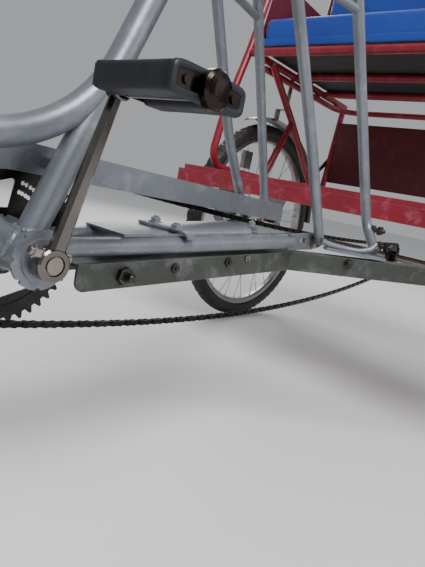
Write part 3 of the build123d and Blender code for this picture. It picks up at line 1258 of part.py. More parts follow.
def rear_axle():
    reach = WHEEL_HALF + REAR_HUB_LENGTH / 2 + 18
    return bar_across(REAR_AXLE_AFT, TYRE_RADIUS, -reach, reach, REAR_AXLE_DIAMETER / 2)


def sprocket():
    plate = toothed_plate(SPROCKET_TEETH, SPROCKET_PITCH_RADIUS, REAR_AXLE_AFT, TYRE_RADIUS, -CHAIN_LINE)
    plate += bar_across(REAR_AXLE_AFT, TYRE_RADIUS, -CHAIN_LINE - 16, -CHAIN_LINE + 12, 17)
    return plate - bar_across(REAR_AXLE_AFT, TYRE_RADIUS, -CHAIN_LINE - 20, -CHAIN_LINE + 20,
                              REAR_AXLE_DIAMETER / 2)


def fender_bracket(side):
    """Strip from the seat rail out and down to the mudguard's crown."""
    crown = TYRE_RADIUS + FENDER_RADIUS + SEAT_GAP
    reach, thick = FENDER_STRIP / 2, FENDER_STRIP_THICKNESS
    along = (REAR_AXLE_AFT - reach, REAR_AXLE_AFT + reach)
    inner, outer = CHASSIS_HALF + CHASSIS_TUBE / 2 + SEAT_GAP, WHEEL_HALF
    step = crown + 30
    arm = block(along, (side * inner, side * (inner + thick)), (step, SEAT_RAIL_HEIGHT + 6))
    arm += block(along, (side * inner, side * outer), (step, step + thick))
    return arm + block(along, (side * (outer - 2 * thick), side * outer), (crown, step + thick))


def fender_rear_tie(side):
    """Flat bar from the rear leg to the mudguard's edge."""
    angle, edge = radians(FENDER_REAR_TIE), FENDER_RADIUS - FENDER_CROWN + 1
    aft, up = REAR_AXLE_AFT + edge * cos(angle), TYRE_RADIUS + edge * sin(angle)
    left = side * (CHASSIS_HALF + CHASSIS_TUBE / 2 + SEAT_GAP)
    outline = [(aft - 8, up - 6), (aft + 8, up - 6), (REAR_LEG_TOP_AFT - 8, up + 60),
               (REAR_LEG_TOP_AFT - 24, up + 76)]
    return side_plate(outline, left, left + side * FENDER_STRIP_THICKNESS)


NODES = {
    "head_tube": head_tube,
    "swan_tube": swan_tube,
    "down_tube": down_tube,
    "seat_tube": seat_tube,
    "crank_shell": crank_shell,
    "chain_stays": lambda: both(chain_stay),
    "seat_stays": seat_stays,
    "stay_sheet": stay_sheet,
    "spine_irons": spine_irons,
    "hoop_stays": hoop_stays,
    "hoop_clamp": stay_clamp,
    "seat_post": seat_post,
    "saddle_frame": saddle_frame,
    "saddle": saddle,
    "chain": chain,
    "chain_guard": chain_guard,
    "fork": fork,
    "front_axle": front_axle,
    "stem": stem,
    "handlebar": handlebar,
    "grips": lambda: both(grip),
    "front_fender": front_fender,
    "fender_stays": fender_stays,
    "front_wheel": lambda: wire_wheel(
        -FRONT_CENTRE, 0, FRONT_AXLE_DIAMETER + 2 * RUNNING_CLEARANCE, FRONT_HUB_LENGTH),
    "front_tyre": lambda: tyre(-FRONT_CENTRE, 0),
    "chainring": chainring,
    "crank_left": lambda: crank_arm(1),
    "crank_right": lambda: crank_arm(-1),
    "crank_spindle": spindle,
    "pedal_left": lambda: pedal_body(1),
    "pedal_left_blocks": lambda: pedal_blocks(1),
    "pedal_right": lambda: pedal_body(-1),
    "pedal_right_blocks": lambda: pedal_blocks(-1),
    "cross_beam": cross_beam,
    "floor_joists": lambda: both(floor_joist),
    "beam_brackets": lambda: both(beam_bracket),
    "front_uprights": lambda: both(front_upright),
    "arm_rails": lambda: both(arm_rail),
    "arm_panels": lambda: both(arm_panel),
    "back_frame": back_frame,
    "side_rails": lambda: both(side_rail),
    "seat_bars": seat_bars,
    "lower_loop": lower_loop,
    "rear_legs": lambda: both(rear_leg),
    "rear_panels": rear_panels,
    "floor_rails": lambda: both(floor_rail),
    "braces": lambda: both(brace),
    "floor_board": floor_board,
    "seat_board": seat_board,
    "seat_cushion": seat_cushion,
    "back_cushion": back_cushion,
    "axle_bearings": lambda: both(axle_bearing),
    "rear_fenders": lambda: both(lambda side: fender(REAR_AXLE_AFT, side * WHEEL_HALF, 5, 112)),
    "fender_brackets": lambda: both(fender_bracket) + both(fender_rear_tie),
    "rear_axle": rear_axle,
    "sprocket": sprocket,
    "wheel_right": lambda: rear_wheel(-1, REAR_AXLE_DIAMETER),
    "tyre_right": lambda: tyre(REAR_AXLE_AFT, -WHEEL_HALF),
    "wheel_left": lambda: rear_wheel(1, REAR_AXLE_DIAMETER + 2 * RUNNING_CLEARANCE),
    "tyre_left": lambda: tyre(REAR_AXLE_AFT, WHEEL_HALF),
}

if __name__ == "__main__":
    os.makedirs("parts", exist_ok=True)
    for node, make in NODES.items():
        shape = make()
        shape.label = node
        export_step(shape, f"parts/{node}.step")
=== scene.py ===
"""Dresses the passenger tricycle: finishes, soft seats, tyres, chain, welds and small hardware.

Lengths are in metres. Places are given as (aft, left, up): behind the crank axis, left of the
middle plane and above the ground.
"""
import logging
from collections.abc import Sequence
from dataclasses import dataclass
from enum import Enum
from math import cos, pi, radians, sin, sqrt

import bmesh
import bpy
import numpy as np
from mathutils import Matrix, Vector


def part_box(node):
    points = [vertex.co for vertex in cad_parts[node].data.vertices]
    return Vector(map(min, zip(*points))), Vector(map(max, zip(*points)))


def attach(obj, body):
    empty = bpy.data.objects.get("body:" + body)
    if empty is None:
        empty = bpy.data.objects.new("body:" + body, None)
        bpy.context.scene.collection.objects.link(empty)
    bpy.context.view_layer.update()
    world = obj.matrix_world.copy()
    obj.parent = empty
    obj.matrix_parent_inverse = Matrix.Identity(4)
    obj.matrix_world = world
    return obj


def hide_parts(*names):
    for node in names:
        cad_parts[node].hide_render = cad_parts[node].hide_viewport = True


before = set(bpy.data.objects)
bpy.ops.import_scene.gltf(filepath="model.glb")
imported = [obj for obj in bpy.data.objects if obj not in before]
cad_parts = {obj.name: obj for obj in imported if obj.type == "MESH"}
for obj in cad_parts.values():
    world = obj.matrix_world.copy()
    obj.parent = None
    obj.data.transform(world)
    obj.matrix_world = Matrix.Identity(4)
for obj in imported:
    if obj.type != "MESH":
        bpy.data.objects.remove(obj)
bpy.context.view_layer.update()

LOG = logging.getLogger("tricycle")
Array = np.ndarray
Node = bpy.types.Node
Socket = bpy.types.NodeSocket
Material = bpy.types.Material
Mesh = bpy.types.Mesh
Object = bpy.types.Object
Colour = tuple[float, float, float]
Place = tuple[float, float, float]

CRANK_LOW, CRANK_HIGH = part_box("crank_spindle")
CRANK_X = (CRANK_LOW.x + CRANK_HIGH.x) / 2
CRANK_UP = (CRANK_LOW.z + CRANK_HIGH.z) / 2
SIDES = (1, -1)


class Body(str, Enum):
    """Moving bodies of the tricycle."""

    FRAME = "frame"
    STEERING = "steering"
    FRONT_WHEEL = "front_wheel"
    CRANKSET = "crankset"
    PEDAL_LEFT = "pedal_left"
    PEDAL_RIGHT = "pedal_right"
    REAR_AXLE = "rear_axle"
    WHEEL_LEFT = "wheel_left"


def at(aft: float, left: float, up: float) -> Array:
    """Point of the shared frame from its place.

    Args:
        aft: Distance behind the crank axis.
        left: Distance left of the middle plane.
        up: Height above the ground.

    Returns:
        The point as (x, y, z).
    """
    return np.array([CRANK_X - aft, left, up])


# Shaders

class Shader:
    """Adds and links the nodes of one material or node group."""

    def __init__(self, tree: bpy.types.NodeTree) -> None:
        """Keeps the tree that the nodes go into."""
        self.tree = tree

    def add(self, kind: str, inputs: dict | None = None, **settings) -> Node:
        """Adds a node, sets its properties, and sets or links its inputs.

        Args:
            kind: Blender's name of the node type, without "ShaderNode".
            inputs: Values or output sockets by input name or index.
            **settings: Properties of the node.

        Returns:
            The new node.
        """
        node = self.tree.nodes.new("ShaderNode" + kind)
        for key, value in settings.items():
            setattr(node, key, value)
        for key, value in (inputs or {}).items():
            if isinstance(value, Socket):
                self.tree.links.new(value, node.inputs[key])
            else:
                node.inputs[key].default_value = value
        return node

    def noise(self, vector: Socket, scale: float | Socket, detail: float = 3.0,
              rough: float = 0.55) -> Socket:
        """Fractal noise from 0 to 1 at a scale."""
        node = self.add("TexNoise", {"Vector": vector, "Scale": scale, "Detail": detail, "Roughness": rough})
        return node.outputs["Fac"]

    def span(self, value: Socket, low: float | Socket, high: float, to_low: float = 0.0,
             to_high: float = 1.0) -> Socket:
        """Maps a value from one range to another and clamps it there."""
        names = ("Value", "From Min", "From Max", "To Min", "To Max")
        node = self.add("MapRange", dict(zip(names, (value, low, high, to_low, to_high))))
        return node.outputs["Result"]

    def math(self, operation: str, first: object, second: object = 0.5) -> Socket:
        """One operation on two values, clamped to 0 to 1."""
        node = self.add("Math", {0: first, 1: second}, operation=operation, use_clamp=True)
        return node.outputs[0]

    def weigh(self, first: Socket, share: float, second: Socket, other: float) -> Socket:
        """Sum of two values, each times its own share."""
        return self.math("ADD", self.math("MULTIPLY", first, share), self.math("MULTIPLY", second, other))

    def mix(self, share: object, first: object, second: object) -> Socket:
        """Colour between two colours."""
        first, second = [(*side, 1.0) if isinstance(side, tuple) else side for side in (first, second)]
        node = self.add("Mix", {0: share, 6: first, 7: second}, data_type="RGBA")
        return node.outputs[2]

    def stretched(self, scale: Place) -> Socket:
        """Object coordinates scaled along each axis."""
        coords = self.add("TexCoord").outputs["Object"]
        return self.add("Mapping", {"Vector": coords, "Scale": scale}).outputs[0]


class Effects:
    """Shader effects that several finishes share, each built once as a node group."""

    @staticmethod
    def start(name: str, output: str, **inputs: float) -> tuple[Shader, dict[str, Socket], Socket]:
        """Makes a group and its sockets.

        Args:
            name: Name of the group.
            output: Name of the float output.
            **inputs: Default of each float input; a Vector input comes first.

        Returns:
            The group's shader helper, what it is given by name, and the socket for its result.
        """
        tree = bpy.data.node_groups.new(name, "ShaderNodeTree")
        tree.interface.new_socket("Vector", in_out="INPUT", socket_type="NodeSocketVector")
        for key, value in inputs.items():
            socket = tree.interface.new_socket(key, in_out="INPUT", socket_type="NodeSocketFloat")
            socket.default_value = value
        tree.interface.new_socket(output, in_out="OUTPUT", socket_type="NodeSocketFloat")
        given, out = tree.nodes.new("NodeGroupInput"), tree.nodes.new("NodeGroupOutput")
        return Shader(tree), given.outputs, out.inputs[output]

    @staticmethod
    def use(shader: Shader, name: str, coords: Socket, **inputs: float) -> Socket:
        """Places a group in a material at some coordinates and returns its output."""
        inputs = {"Vector": coords, **inputs}
        return shader.add("Group", inputs, node_tree=bpy.data.node_groups[name]).outputs[0]

    @classmethod
    def build(cls) -> None:
        """Builds the edge wear, chip, dust and blotch groups."""
        cls.edges()
        cls.chips()
        cls.dust()
        cls.blotches()

    @classmethod
    def edges(cls) -> None:
        """Worn edges: one where the rounded normal leaves the face's, broken up by noise."""
        shader, given, out = cls.start("worn edges", "Mask", Radius=0.002, Amount=1.0)
        bevel = shader.add("Bevel", {"Radius": given["Radius"]}, samples=6)
        facing = shader.add("NewGeometry")
        dot = shader.add("VectorMath", {0: bevel.outputs[0], 1: facing.outputs["Normal"]},
                         operation="DOT_PRODUCT")
        bend = shader.span(dot.outputs["Value"], 0.995, 0.86)
        broken = shader.span(shader.noise(given["Vector"], 55.0, 5.0, 0.7), 0.38, 0.62)
        mask = shader.math("MULTIPLY", shader.math("MULTIPLY", bend, broken), given["Amount"])
        shader.tree.links.new(mask, out)

    @classmethod
    def chips(cls) -> None:
        """Small chips: one where fine and coarse noise are both high."""
        shader, given, out = cls.start("chips", "Mask", Scale=60.0, Level=0.66)
        fine = shader.noise(given["Vector"], given["Scale"], 6.0, 0.75)
        coarse = shader.noise(given["Vector"], 9.0, 2.0)
        both = shader.weigh(fine, 0.7, coarse, 0.3)
        rise = shader.span(both, given["Level"], 1.0, 0.0, 9.0)
        shader.tree.links.new(shader.math("MULTIPLY", rise, 1.0), out)

    @classmethod
    def dust(cls) -> None:
        """Dust that settles on faces that look up, in uneven patches."""
        shader, given, out = cls.start("settled dust", "Mask", Amount=0.3)
        normal = shader.add("TexCoord").outputs["Normal"]
        upward = shader.add("SeparateXYZ", {0: normal}).outputs["Z"]
        patch = shader.span(shader.noise(given["Vector"], 14.0, 4.0), 0.3, 0.75, 0.25, 1.0)
        mask = shader.math("MULTIPLY", shader.span(upward, 0.1, 0.95), patch)
        shader.tree.links.new(shader.math("MULTIPLY", mask, given["Amount"]), out)

    @classmethod
    def blotches(cls) -> None:
        """Slow change of tone with a finer one over it."""
        shader, given, out = cls.start("blotches", "Value", Scale=8.0)
        slow = shader.noise(given["Vector"], given["Scale"], 4.0, 0.6)
        fast = shader.noise(given["Vector"], 90.0, 3.0)
        both = shader.weigh(slow, 0.75, fast, 0.25)
        shader.tree.links.new(shader.span(both, 0.32, 0.68), out)


def new_material(name: str) -> tuple[Material, Shader, Node, Socket]:
    """Empty material with its Principled shader and object coordinates.

    Args:
        name: Name of the material.

    Returns:
        The material, its shader helper, the Principled node and the coordinates socket.
    """
    material = bpy.data.materials.new(name)
    material.use_nodes = True
    shader = Shader(material.node_tree)
    surface = material.node_tree.nodes["Principled BSDF"]
    return material, shader, surface, shader.add("TexCoord").outputs["Object"]


def feed(shader: Shader, surface: Node, sockets: dict[str, Socket], height: Socket, depth: float,
         strength: float) -> None:
    """Links colours and values to the Principled shader, and a height through a Bump node.

    Args:
        shader: Helper of the material's tree.
        surface: The Principled node.
        sockets: Outputs by the name of the input that they feed.
        height: Height from 0 to 1.
        depth: Real depth of the height.
        strength: Strength of the bump.
    """
    for name, value in sockets.items():
        shader.tree.links.new(value, surface.inputs[name])
    bump = shader.add("Bump", {"Height": height, "Distance": depth, "Strength": strength})
    shader.tree.links.new(bump.outputs[0], surface.inputs["Normal"])


@dataclass(frozen=True)
class Paint:
    """Brushed or sprayed paint with chips, worn edges, specks and dust."""

    name: str
    colour: Colour
    shade: Colour
    under: Colour
    worn: Colour
    dust_colour: Colour = (0.24, 0.21, 0.17)
    roughness: float = 0.36
    metallic: float = 0.0
    chip_level: float = 0.7
    edge_amount: float = 0.8
    dust: float = 0.25
    ripple: float = 0.25
    edge_radius: float = 0.0018
    bump_depth: float = 0.0009

    def material(self) -> Material:
        """Builds the material."""
        material, shader, surface, coords = new_material(self.name)
        blotch = Effects.use(shader, "blotches", coords, Scale=9.0)
        chips = Effects.use(shader, "chips", coords, Scale=85.0, Level=self.chip_level)
        edges = Effects.use(shader, "worn edges", coords, Radius=self.edge_radius, Amount=self.edge_amount)
        dust = Effects.use(shader, "settled dust", coords, Amount=self.dust)
        rubbed = shader.span(shader.noise(coords, 26.0, 6.0, 0.7), 0.52, 0.7, 0.0, 0.55)
        tone = shader.mix(blotch, self.colour, self.shade)
        tone = shader.mix(rubbed, tone, self.worn)
        tone = shader.mix(edges, tone, self.worn)
        tone = shader.mix(chips, tone, self.under)
        tone = shader.mix(dust, tone, self.dust_colour)
        rough = shader.span(blotch, 0.0, 1.0, self.roughness - 0.06, self.roughness + 0.1)
        rough = shader.math("ADD", rough, shader.math("MULTIPLY", shader.math("MAXIMUM", dust, chips), 0.4))
        orange_peel = shader.noise(coords, 240.0, 2.0)
        brush = shader.noise(coords, 30.0, 3.0)
        height = shader.weigh(orange_peel, self.ripple, brush, 0.35)
        height = shader.math("SUBTRACT", height, shader.math("MULTIPLY", chips, 0.4))
        feed(shader, surface, {"Base Color": tone, "Roughness": rough}, height, self.bump_depth, 0.45)
        surface.inputs["Metallic"].default_value = self.metallic
        return material


@dataclass(frozen=True)
class Metal:
    """Bare or plated metal with fine scratches, dull patches and rust."""

    name: str
    colour: Colour
    dull: Colour
    rust: Colour = (0.13, 0.055, 0.025)
    roughness: float = 0.2
    rust_level: float = 0.68
    rust_edges: float = 0.6
    scratch: Place = (30.0, 220.0, 30.0)
    edge_radius: float = 0.0022
    bump_depth: float = 0.0003

    def material(self) -> Material:
        """Builds the material."""
        material, shader, surface, coords = new_material(self.name)
        lines = shader.noise(shader.stretched(self.scratch), 4.0, 6.0, 0.7)
        blotch = Effects.use(shader, "blotches", coords, Scale=22.0)
        spots = Effects.use(shader, "chips", coords, Scale=120.0, Level=self.rust_level)
        edges = Effects.use(shader, "worn edges", coords, Radius=self.edge_radius, Amount=self.rust_edges)
        rust = shader.math("MAXIMUM", spots, edges)
        tone = shader.mix(shader.math("MULTIPLY", blotch, 0.7), self.colour, self.dull)
        tone = shader.mix(rust, tone, self.rust)
        rough = shader.math("ADD", shader.span(lines, 0.3, 0.7, self.roughness - 0.05, self.roughness + 0.16),
                            shader.math("MULTIPLY", rust, 0.5))
        metallic = shader.span(rust, 0.0, 0.8, 1.0, 0.15)
        height = shader.weigh(lines, 0.4, rust, 0.5)
        feed(shader, surface, {"Base Color": tone, "Roughness": rough, "Metallic": metallic}, height,
             self.bump_depth, 0.35)
        return material


@dataclass(frozen=True)
class Rubber:
    """Worn rubber: grey bloom on what stands out, dirt in uneven patches."""

    name: str
    colour: Colour = (0.012, 0.012, 0.014)
    bloom: Colour = (0.055, 0.058, 0.066)
    dirt: Colour = (0.075, 0.06, 0.042)
    roughness: float = 0.55
    dirt_amount: float = 0.3
    edge_amount: float = 0.8
    edge_radius: float = 0.0015
    bump_depth: float = 0.0004

    def material(self) -> Material:
        """Builds the material."""
        material, shader, surface, coords = new_material(self.name)
        blotch = Effects.use(shader, "blotches", coords, Scale=30.0)
        edges = Effects.use(shader, "worn edges", coords, Radius=self.edge_radius, Amount=self.edge_amount)
        patch = shader.span(shader.noise(coords, 18.0, 5.0, 0.65), 0.48, 0.72, 0.0, self.dirt_amount)
        tone = shader.mix(shader.math("MULTIPLY", blotch, 0.5), self.colour, self.bloom)
        tone = shader.mix(edges, tone, self.bloom)
        tone = shader.mix(patch, tone, self.dirt)
        rough = shader.span(blotch, 0.0, 1.0, self.roughness - 0.12, self.roughness + 0.15)
        pores = shader.noise(coords, 420.0, 3.0)
        feed(shader, surface, {"Base Color": tone, "Roughness": rough}, pores, self.bump_depth, 0.4)
        return material


@dataclass(frozen=True)
class Vinyl:
    """Coated seat cloth with a pressed leather grain."""

    name: str
    colour: Colour
    shade: Colour
    roughness: float = 0.42
    grain: float = 520.0
    bump_depth: float = 0.0016
    coat: float = 0.08
    dust: float = 0.16
    dust_colour: Colour = (0.26, 0.27, 0.3)

    def material(self) -> Material:
        """Builds the material."""
        material, shader, surface, coords = new_material(self.name)
        cells = shader.add("TexVoronoi", {"Vector": coords, "Scale": self.grain}, feature="DISTANCE_TO_EDGE")
        creases = shader.span(cells.outputs["Distance"], 0.0, 0.12)
        blotch = Effects.use(shader, "blotches", coords, Scale=5.0)
        dust = Effects.use(shader, "settled dust", coords, Amount=self.dust)
        tone = shader.mix(blotch, self.colour, self.shade)
        tone = shader.mix(shader.math("MULTIPLY", dust, 1.0), tone, self.dust_colour)
        wrinkle = shader.noise(shader.stretched((2.0, 9.0, 9.0)), 5.0, 4.0, 0.6)
        height = shader.weigh(creases, 0.25, wrinkle, 0.7)
        rough = shader.span(blotch, 0.0, 1.0, self.roughness - 0.07, self.roughness + 0.1)
        feed(shader, surface, {"Base Color": tone, "Roughness": rough}, height, self.bump_depth, 0.4)
        surface.inputs["Coat Weight"].default_value = self.coat
        return material


@dataclass(frozen=True)
class Timber:
    """Plywood with grain along the width and water stains."""

    name: str
    colour: Colour
    grain_colour: Colour
    stain_colour: Colour = (0.03, 0.026, 0.02)
    bump_depth: float = 0.0008

    def material(self) -> Material:
        """Builds the material."""
        material, shader, surface, coords = new_material(self.name)
        fibres = shader.noise(shader.stretched((60.0, 2.0, 60.0)), 3.0, 6.0, 0.7)
        wave = {"Vector": shader.stretched((3.0, 0.4, 3.0)), "Scale": 6.0, "Distortion": 9.0, "Detail": 3.0}
        rings = shader.add("TexWave", wave, bands_direction="X").outputs["Fac"]
        stain = Effects.use(shader, "blotches", coords, Scale=4.0)
        tone = shader.mix(shader.math("MULTIPLY", fibres, rings), self.colour, self.grain_colour)
        tone = shader.mix(shader.math("MULTIPLY", stain, 0.5), tone, self.stain_colour)
        feed(shader, surface, {"Base Color": tone, "Roughness": shader.span(fibres, 0.2, 0.8, 0.55, 0.85)},
             fibres, self.bump_depth, 0.5)
        return material


class Finish(Enum):
    """Finishes of the tricycle's pieces."""

    SILVER = Paint("brushed_silver", (0.205, 0.222, 0.25), (0.148, 0.16, 0.184), (0.045, 0.032, 0.026),
                   (0.33, 0.345, 0.37), roughness=0.37, metallic=0.5, chip_level=0.745, edge_amount=0.3,
                   dust=0.08, ripple=0.3)
    IRON = Paint("grimy_iron", (0.075, 0.082, 0.072), (0.04, 0.044, 0.037), (0.03, 0.018, 0.012),
                 (0.20, 0.21, 0.205), roughness=0.42, metallic=0.5, chip_level=0.70, edge_amount=0.9,
                 dust=0.45, dust_colour=(0.24, 0.25, 0.27))
    RED = Paint("gloss_red", (0.27, 0.011, 0.026), (0.17, 0.006, 0.015), (0.045, 0.014, 0.012),
                (0.40, 0.075, 0.115), roughness=0.33, chip_level=0.725, edge_amount=0.7, dust=0.1)
    RED_BEAM = Paint("beam_red", (0.29, 0.017, 0.036), (0.20, 0.009, 0.02), (0.04, 0.014, 0.012),
                     (0.46, 0.14, 0.19), roughness=0.38, chip_level=0.67, edge_amount=0.95, dust=0.2,
                     ripple=0.45)
    # Darker copy of the red paint for the arm and rear panels: a little of it is the sheet's own deeper red,
    # most of it is painted shade.
    RED_SHEET = Paint("shaded_sheet_red", (0.11, 0.005, 0.011), (0.065, 0.003, 0.007), (0.02, 0.009, 0.008),
                      (0.17, 0.02, 0.032), roughness=0.42, chip_level=0.74, edge_amount=0.4, dust=0.1)
    BLACK = Paint("black_paint", (0.011, 0.011, 0.012), (0.018, 0.018, 0.02), (0.07, 0.04, 0.024),
                  (0.09, 0.09, 0.095), roughness=0.3, chip_level=0.73, edge_amount=0.5, dust=0.06)
    STEEL = Metal("worn_steel", (0.34, 0.31, 0.285), (0.16, 0.14, 0.125), rust_level=0.62)
    PLATED = Metal("plated_steel", (0.66, 0.66, 0.66), (0.46, 0.46, 0.46), roughness=0.16, rust_level=0.74,
                   rust_edges=0.25)
    ALLOY = Metal("rim_alloy", (0.36, 0.355, 0.35), (0.20, 0.19, 0.18), roughness=0.28, rust_level=0.68,
                  rust_edges=0.1)
    RUSTY = Metal("rusty_cap", (0.036, 0.026, 0.023), (0.016, 0.012, 0.011), (0.03, 0.017, 0.013),
                  roughness=0.16, rust_level=0.62, rust_edges=0.2)
    CRANK = Metal("polished_crank", (0.18, 0.166, 0.152), (0.085, 0.076, 0.068), roughness=0.1,
                  rust_level=0.7, rust_edges=0.1)
    CHAIN = Metal("dark_chain", (0.026, 0.025, 0.024), (0.012, 0.011, 0.011), (0.035, 0.02, 0.014),
                  roughness=0.18, rust_level=0.74, rust_edges=0.05)
    NUT = Metal("dark_nut", (0.085, 0.08, 0.075), (0.035, 0.032, 0.03), (0.06, 0.03, 0.02), roughness=0.3,
                rust_level=0.62, rust_edges=0.35)
    OILY = Metal("oily_steel", (0.05, 0.047, 0.044), (0.016, 0.015, 0.014), (0.06, 0.03, 0.018),
                 roughness=0.24, rust_level=0.66, rust_edges=0.1)
    # Darker than the grip and tyre rubber: the black of the pedal blocks is deepened by painted shade.
    PEDAL = Rubber("shaded_pedal_rubber", (0.004, 0.006, 0.009), (0.010, 0.013, 0.019), roughness=0.5,
                   dirt_amount=0.06, edge_amount=0.15)
    TYRE = Rubber("tyre_rubber", (0.009, 0.009, 0.010), (0.026, 0.026, 0.028), roughness=0.6,
                  dirt_amount=0.35)
    GRIP = Rubber("grip_rubber", roughness=0.48, dirt_amount=0.1)
    SADDLE = Vinyl("saddle_vinyl", (0.014, 0.013, 0.013), (0.03, 0.028, 0.027), 0.46, 700.0)
    VINYL = Vinyl("blue_vinyl", (0.014, 0.06, 0.36), (0.009, 0.04, 0.27))
    # Very dark greenish colours of the seat board: painted shade of its underside and a painted green
    # reflection of grass.
    PLYWOOD = Timber("shaded_green_plywood", (0.008, 0.011, 0.010), (0.004, 0.005, 0.005))

    def material(self) -> Material:
        """Material of the finish, built at its first use."""
        return bpy.data.materials.get(self.value.name) or self.value.material()


NODE_FINISHES = {
    Finish.SILVER: ["head_tube", "swan_tube", "down_tube", "seat_tube", "crank_shell", "chain_stays",
                    "seat_stays", "stay_sheet", "hoop_stays", "hoop_clamp", "chain_guard", "fork"],
    Finish.IRON: ["spine_irons", "beam_brackets"],
    Finish.RED: ["front_uprights", "arm_rails", "back_frame", "side_rails", "seat_bars", "lower_loop",
                 "rear_legs", "floor_rails", "braces", "floor_joists"],
    Finish.RED_BEAM: ["cross_beam", "floor_board"],
    Finish.RED_SHEET: ["arm_panels", "rear_panels"],
    Finish.BLACK: ["front_fender", "rear_fenders", "saddle_frame"],
    Finish.STEEL: ["crank_spindle", "front_axle", "rear_axle", "axle_bearings",
                   "fender_brackets"],
    Finish.PLATED: ["stem", "handlebar", "seat_post", "fender_stays"],
    Finish.ALLOY: ["front_wheel", "wheel_left", "wheel_right"],
    Finish.RUSTY: ["pedal_left", "pedal_right"],
    Finish.OILY: ["chainring", "sprocket"],
    Finish.PLYWOOD: ["seat_board"],
}


# Shapes

class Surface:
    """Collects grids of points and flat rings into one mesh."""

    def __init__(self) -> None:
        """Starts empty."""
        self.points: list[Array] = []
        self.faces: list[list[int]] = []
        self.count = 0

    def _take(self, points: Array) -> Array:
        """Keeps points and returns their numbers in the same layout."""
        index = np.arange(points[..., 0].size).reshape(points.shape[:-1]) + self.count
        self.points.append(points.reshape(-1, 3))
        self.count += index.size
        return index

    def grid(self, points: Array, close_u: bool = False, close_v: bool = False, ends: bool = False) -> None:
        """Adds a grid of quads.

        Args:
            points: Array of shape (u, v, 3).
            close_u: Joins the last row to the first.
            close_v: Joins the last column to the first.
            ends: Closes the first and last row with a flat face each.
        """
        index = self._take(points)
        if ends:
            self.faces += [index[0].tolist(), index[-1][::-1].tolist()]
        if close_u:
            index = np.vstack([index, index[:1]])
        if close_v:
            index = np.hstack([index, index[:, :1]])
        quads = np.stack([index[:-1, :-1], index[1:, :-1], index[1:, 1:], index[:-1, 1:]], -1)
        self.faces += quads.reshape(-1, 4).tolist()

    def prisms(self, outlines: Array) -> None:
        """Adds many closed prisms at once from an array of shape (prism, 2, corner, 3)."""
        index = self._take(outlines)
        low, high = index[:, 0], index[:, 1]
        after = np.roll(index, -1, axis=2)
        sides = np.stack([low, after[:, 0], after[:, 1], high], -1).reshape(-1, 4)
        self.faces += sides.tolist() + low[:, ::-1].tolist() + high.tolist()

    def build(self, name: str, body: Body, finish: Finish, sharp: float = 35.0,
              replaces: tuple[str, ...] = ()) -> Object:
        """Makes the object, with doubles merged and normals outward.

        Args:
            name: Name of the piece.
            body: Body that it rides on.
            finish: Its finish.
            sharp: Edges that turn more than this many degrees stay sharp.
            replaces: CAD nodes that it stands for.

        Returns:
            The piece.
        """
        mesh = bpy.data.meshes.new(name)
        mesh.from_pydata(np.vstack(self.points), [], self.faces)
        merge_points(mesh, 1e-6, outward=True)
        mesh.shade_smooth()
        mesh.set_sharp_from_angle(angle=radians(sharp))
        piece = new_object(name, mesh)
        finish_piece(piece, body, finish, replaces)
        return piece


def new_object(name: str, data: bpy.types.ID) -> Object:
    """Object at the origin, linked to the scene."""
    made = bpy.data.objects.new(name, data)
    bpy.context.scene.collection.objects.link(made)
    return made


def merge_points(mesh: Mesh, distance: float, outward: bool = False) -> None:
    """Merges points that lie together and, where asked, turns the faces outward."""
    work = bmesh.new()
    work.from_mesh(mesh)
    bmesh.ops.remove_doubles(work, verts=work.verts, dist=distance)
    if outward:
        bmesh.ops.recalc_face_normals(work, faces=work.faces)
    work.to_mesh(mesh)
    work.free()


def coat(mesh: Mesh, finish: Finish) -> None:
    """Gives a mesh one finish and no other."""
    mesh.materials.clear()
    mesh.materials.append(finish.material())


def finish_piece(piece: Object, body: Body, finish: Finish, replaces: tuple[str, ...] = ()) -> None:
    """Gives a piece its material, slot and body."""
    coat(piece.data, finish)
    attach(piece, body.value)
    if replaces:
        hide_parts(*replaces)
    LOG.info("%s: %d faces on %s", piece.name, len(piece.data.polygons), body.value)


def across(direction: Array) -> tuple[Array, Array, Array]:
    """Unit vector along a direction and two unit vectors square to it."""
    along = direction / np.linalg.norm(direction)
    helper = np.array([0.0, 0.0, 1.0]) if abs(along[2]) < 0.9 else np.array([1.0, 0.0, 0.0])
    first = np.cross(helper, along)
    first /= np.linalg.norm(first)
    return along, first, np.cross(along, first)


def drum(low: float, high: float, radius: float, bore: float = 0.0, foot: tuple[float, ...] = (),
         head: tuple[float, ...] = ()) -> list[tuple[float, float]]:
    """Profile rows of a cylinder from low to high, with a chamfer (along, inward) at its foot or head."""
    rows = [(low, radius - foot[1]), (low + foot[0], radius)] if foot else [(low, radius)]
    rows += [(high - head[0], radius), (high, radius - head[1])] if head else [(high, radius)]
    return [(low, bore), *rows, (high, bore)]


def turned(profile: Sequence[tuple[float, float]], start: Array, direction: Array, sides: int = 24,
           turn: float = 0.0) -> Array:
    """Grid of a turned form: each profile row is (distance along, radius), swept round the axis."""
    along, first, second = across(direction)
    angles = np.arange(sides) * 2 * pi / sides + turn
    ring = np.cos(angles)[:, None] * first + np.sin(angles)[:, None] * second
    rows = np.array(profile)
    return start + rows[:, 0, None, None] * along + rows[:, 1, None, None] * ring


def swept(path: Array, radius: Array | float, sides: int = 8, closed: bool = False) -> Array:
    """Grid of a tube: a circle square to the path's direction at each of its points."""
    step = np.roll(path, -1, axis=0) - np.roll(path, 1, axis=0)
    if not closed:
        step[0], step[-1] = path[1] - path[0], path[-1] - path[-2]
    step /= np.linalg.norm(step, axis=1, keepdims=True)
    spread = np.abs(step).mean(axis=0)
    helper = np.eye(3)[int(np.argmin(spread))]
    first = np.cross(helper, step)
    first /= np.linalg.norm(first, axis=1, keepdims=True)
    second = np.cross(step, first)
    angles = np.arange(sides) * 2 * pi / sides
    size = np.broadcast_to(np.asarray(radius, dtype=float), (len(path),))[:, None, None]
    ring = np.cos(angles)[None, :, None] * first[:, None] + np.sin(angles)[None, :, None] * second[:, None]
    return path[:, None] + size * ring


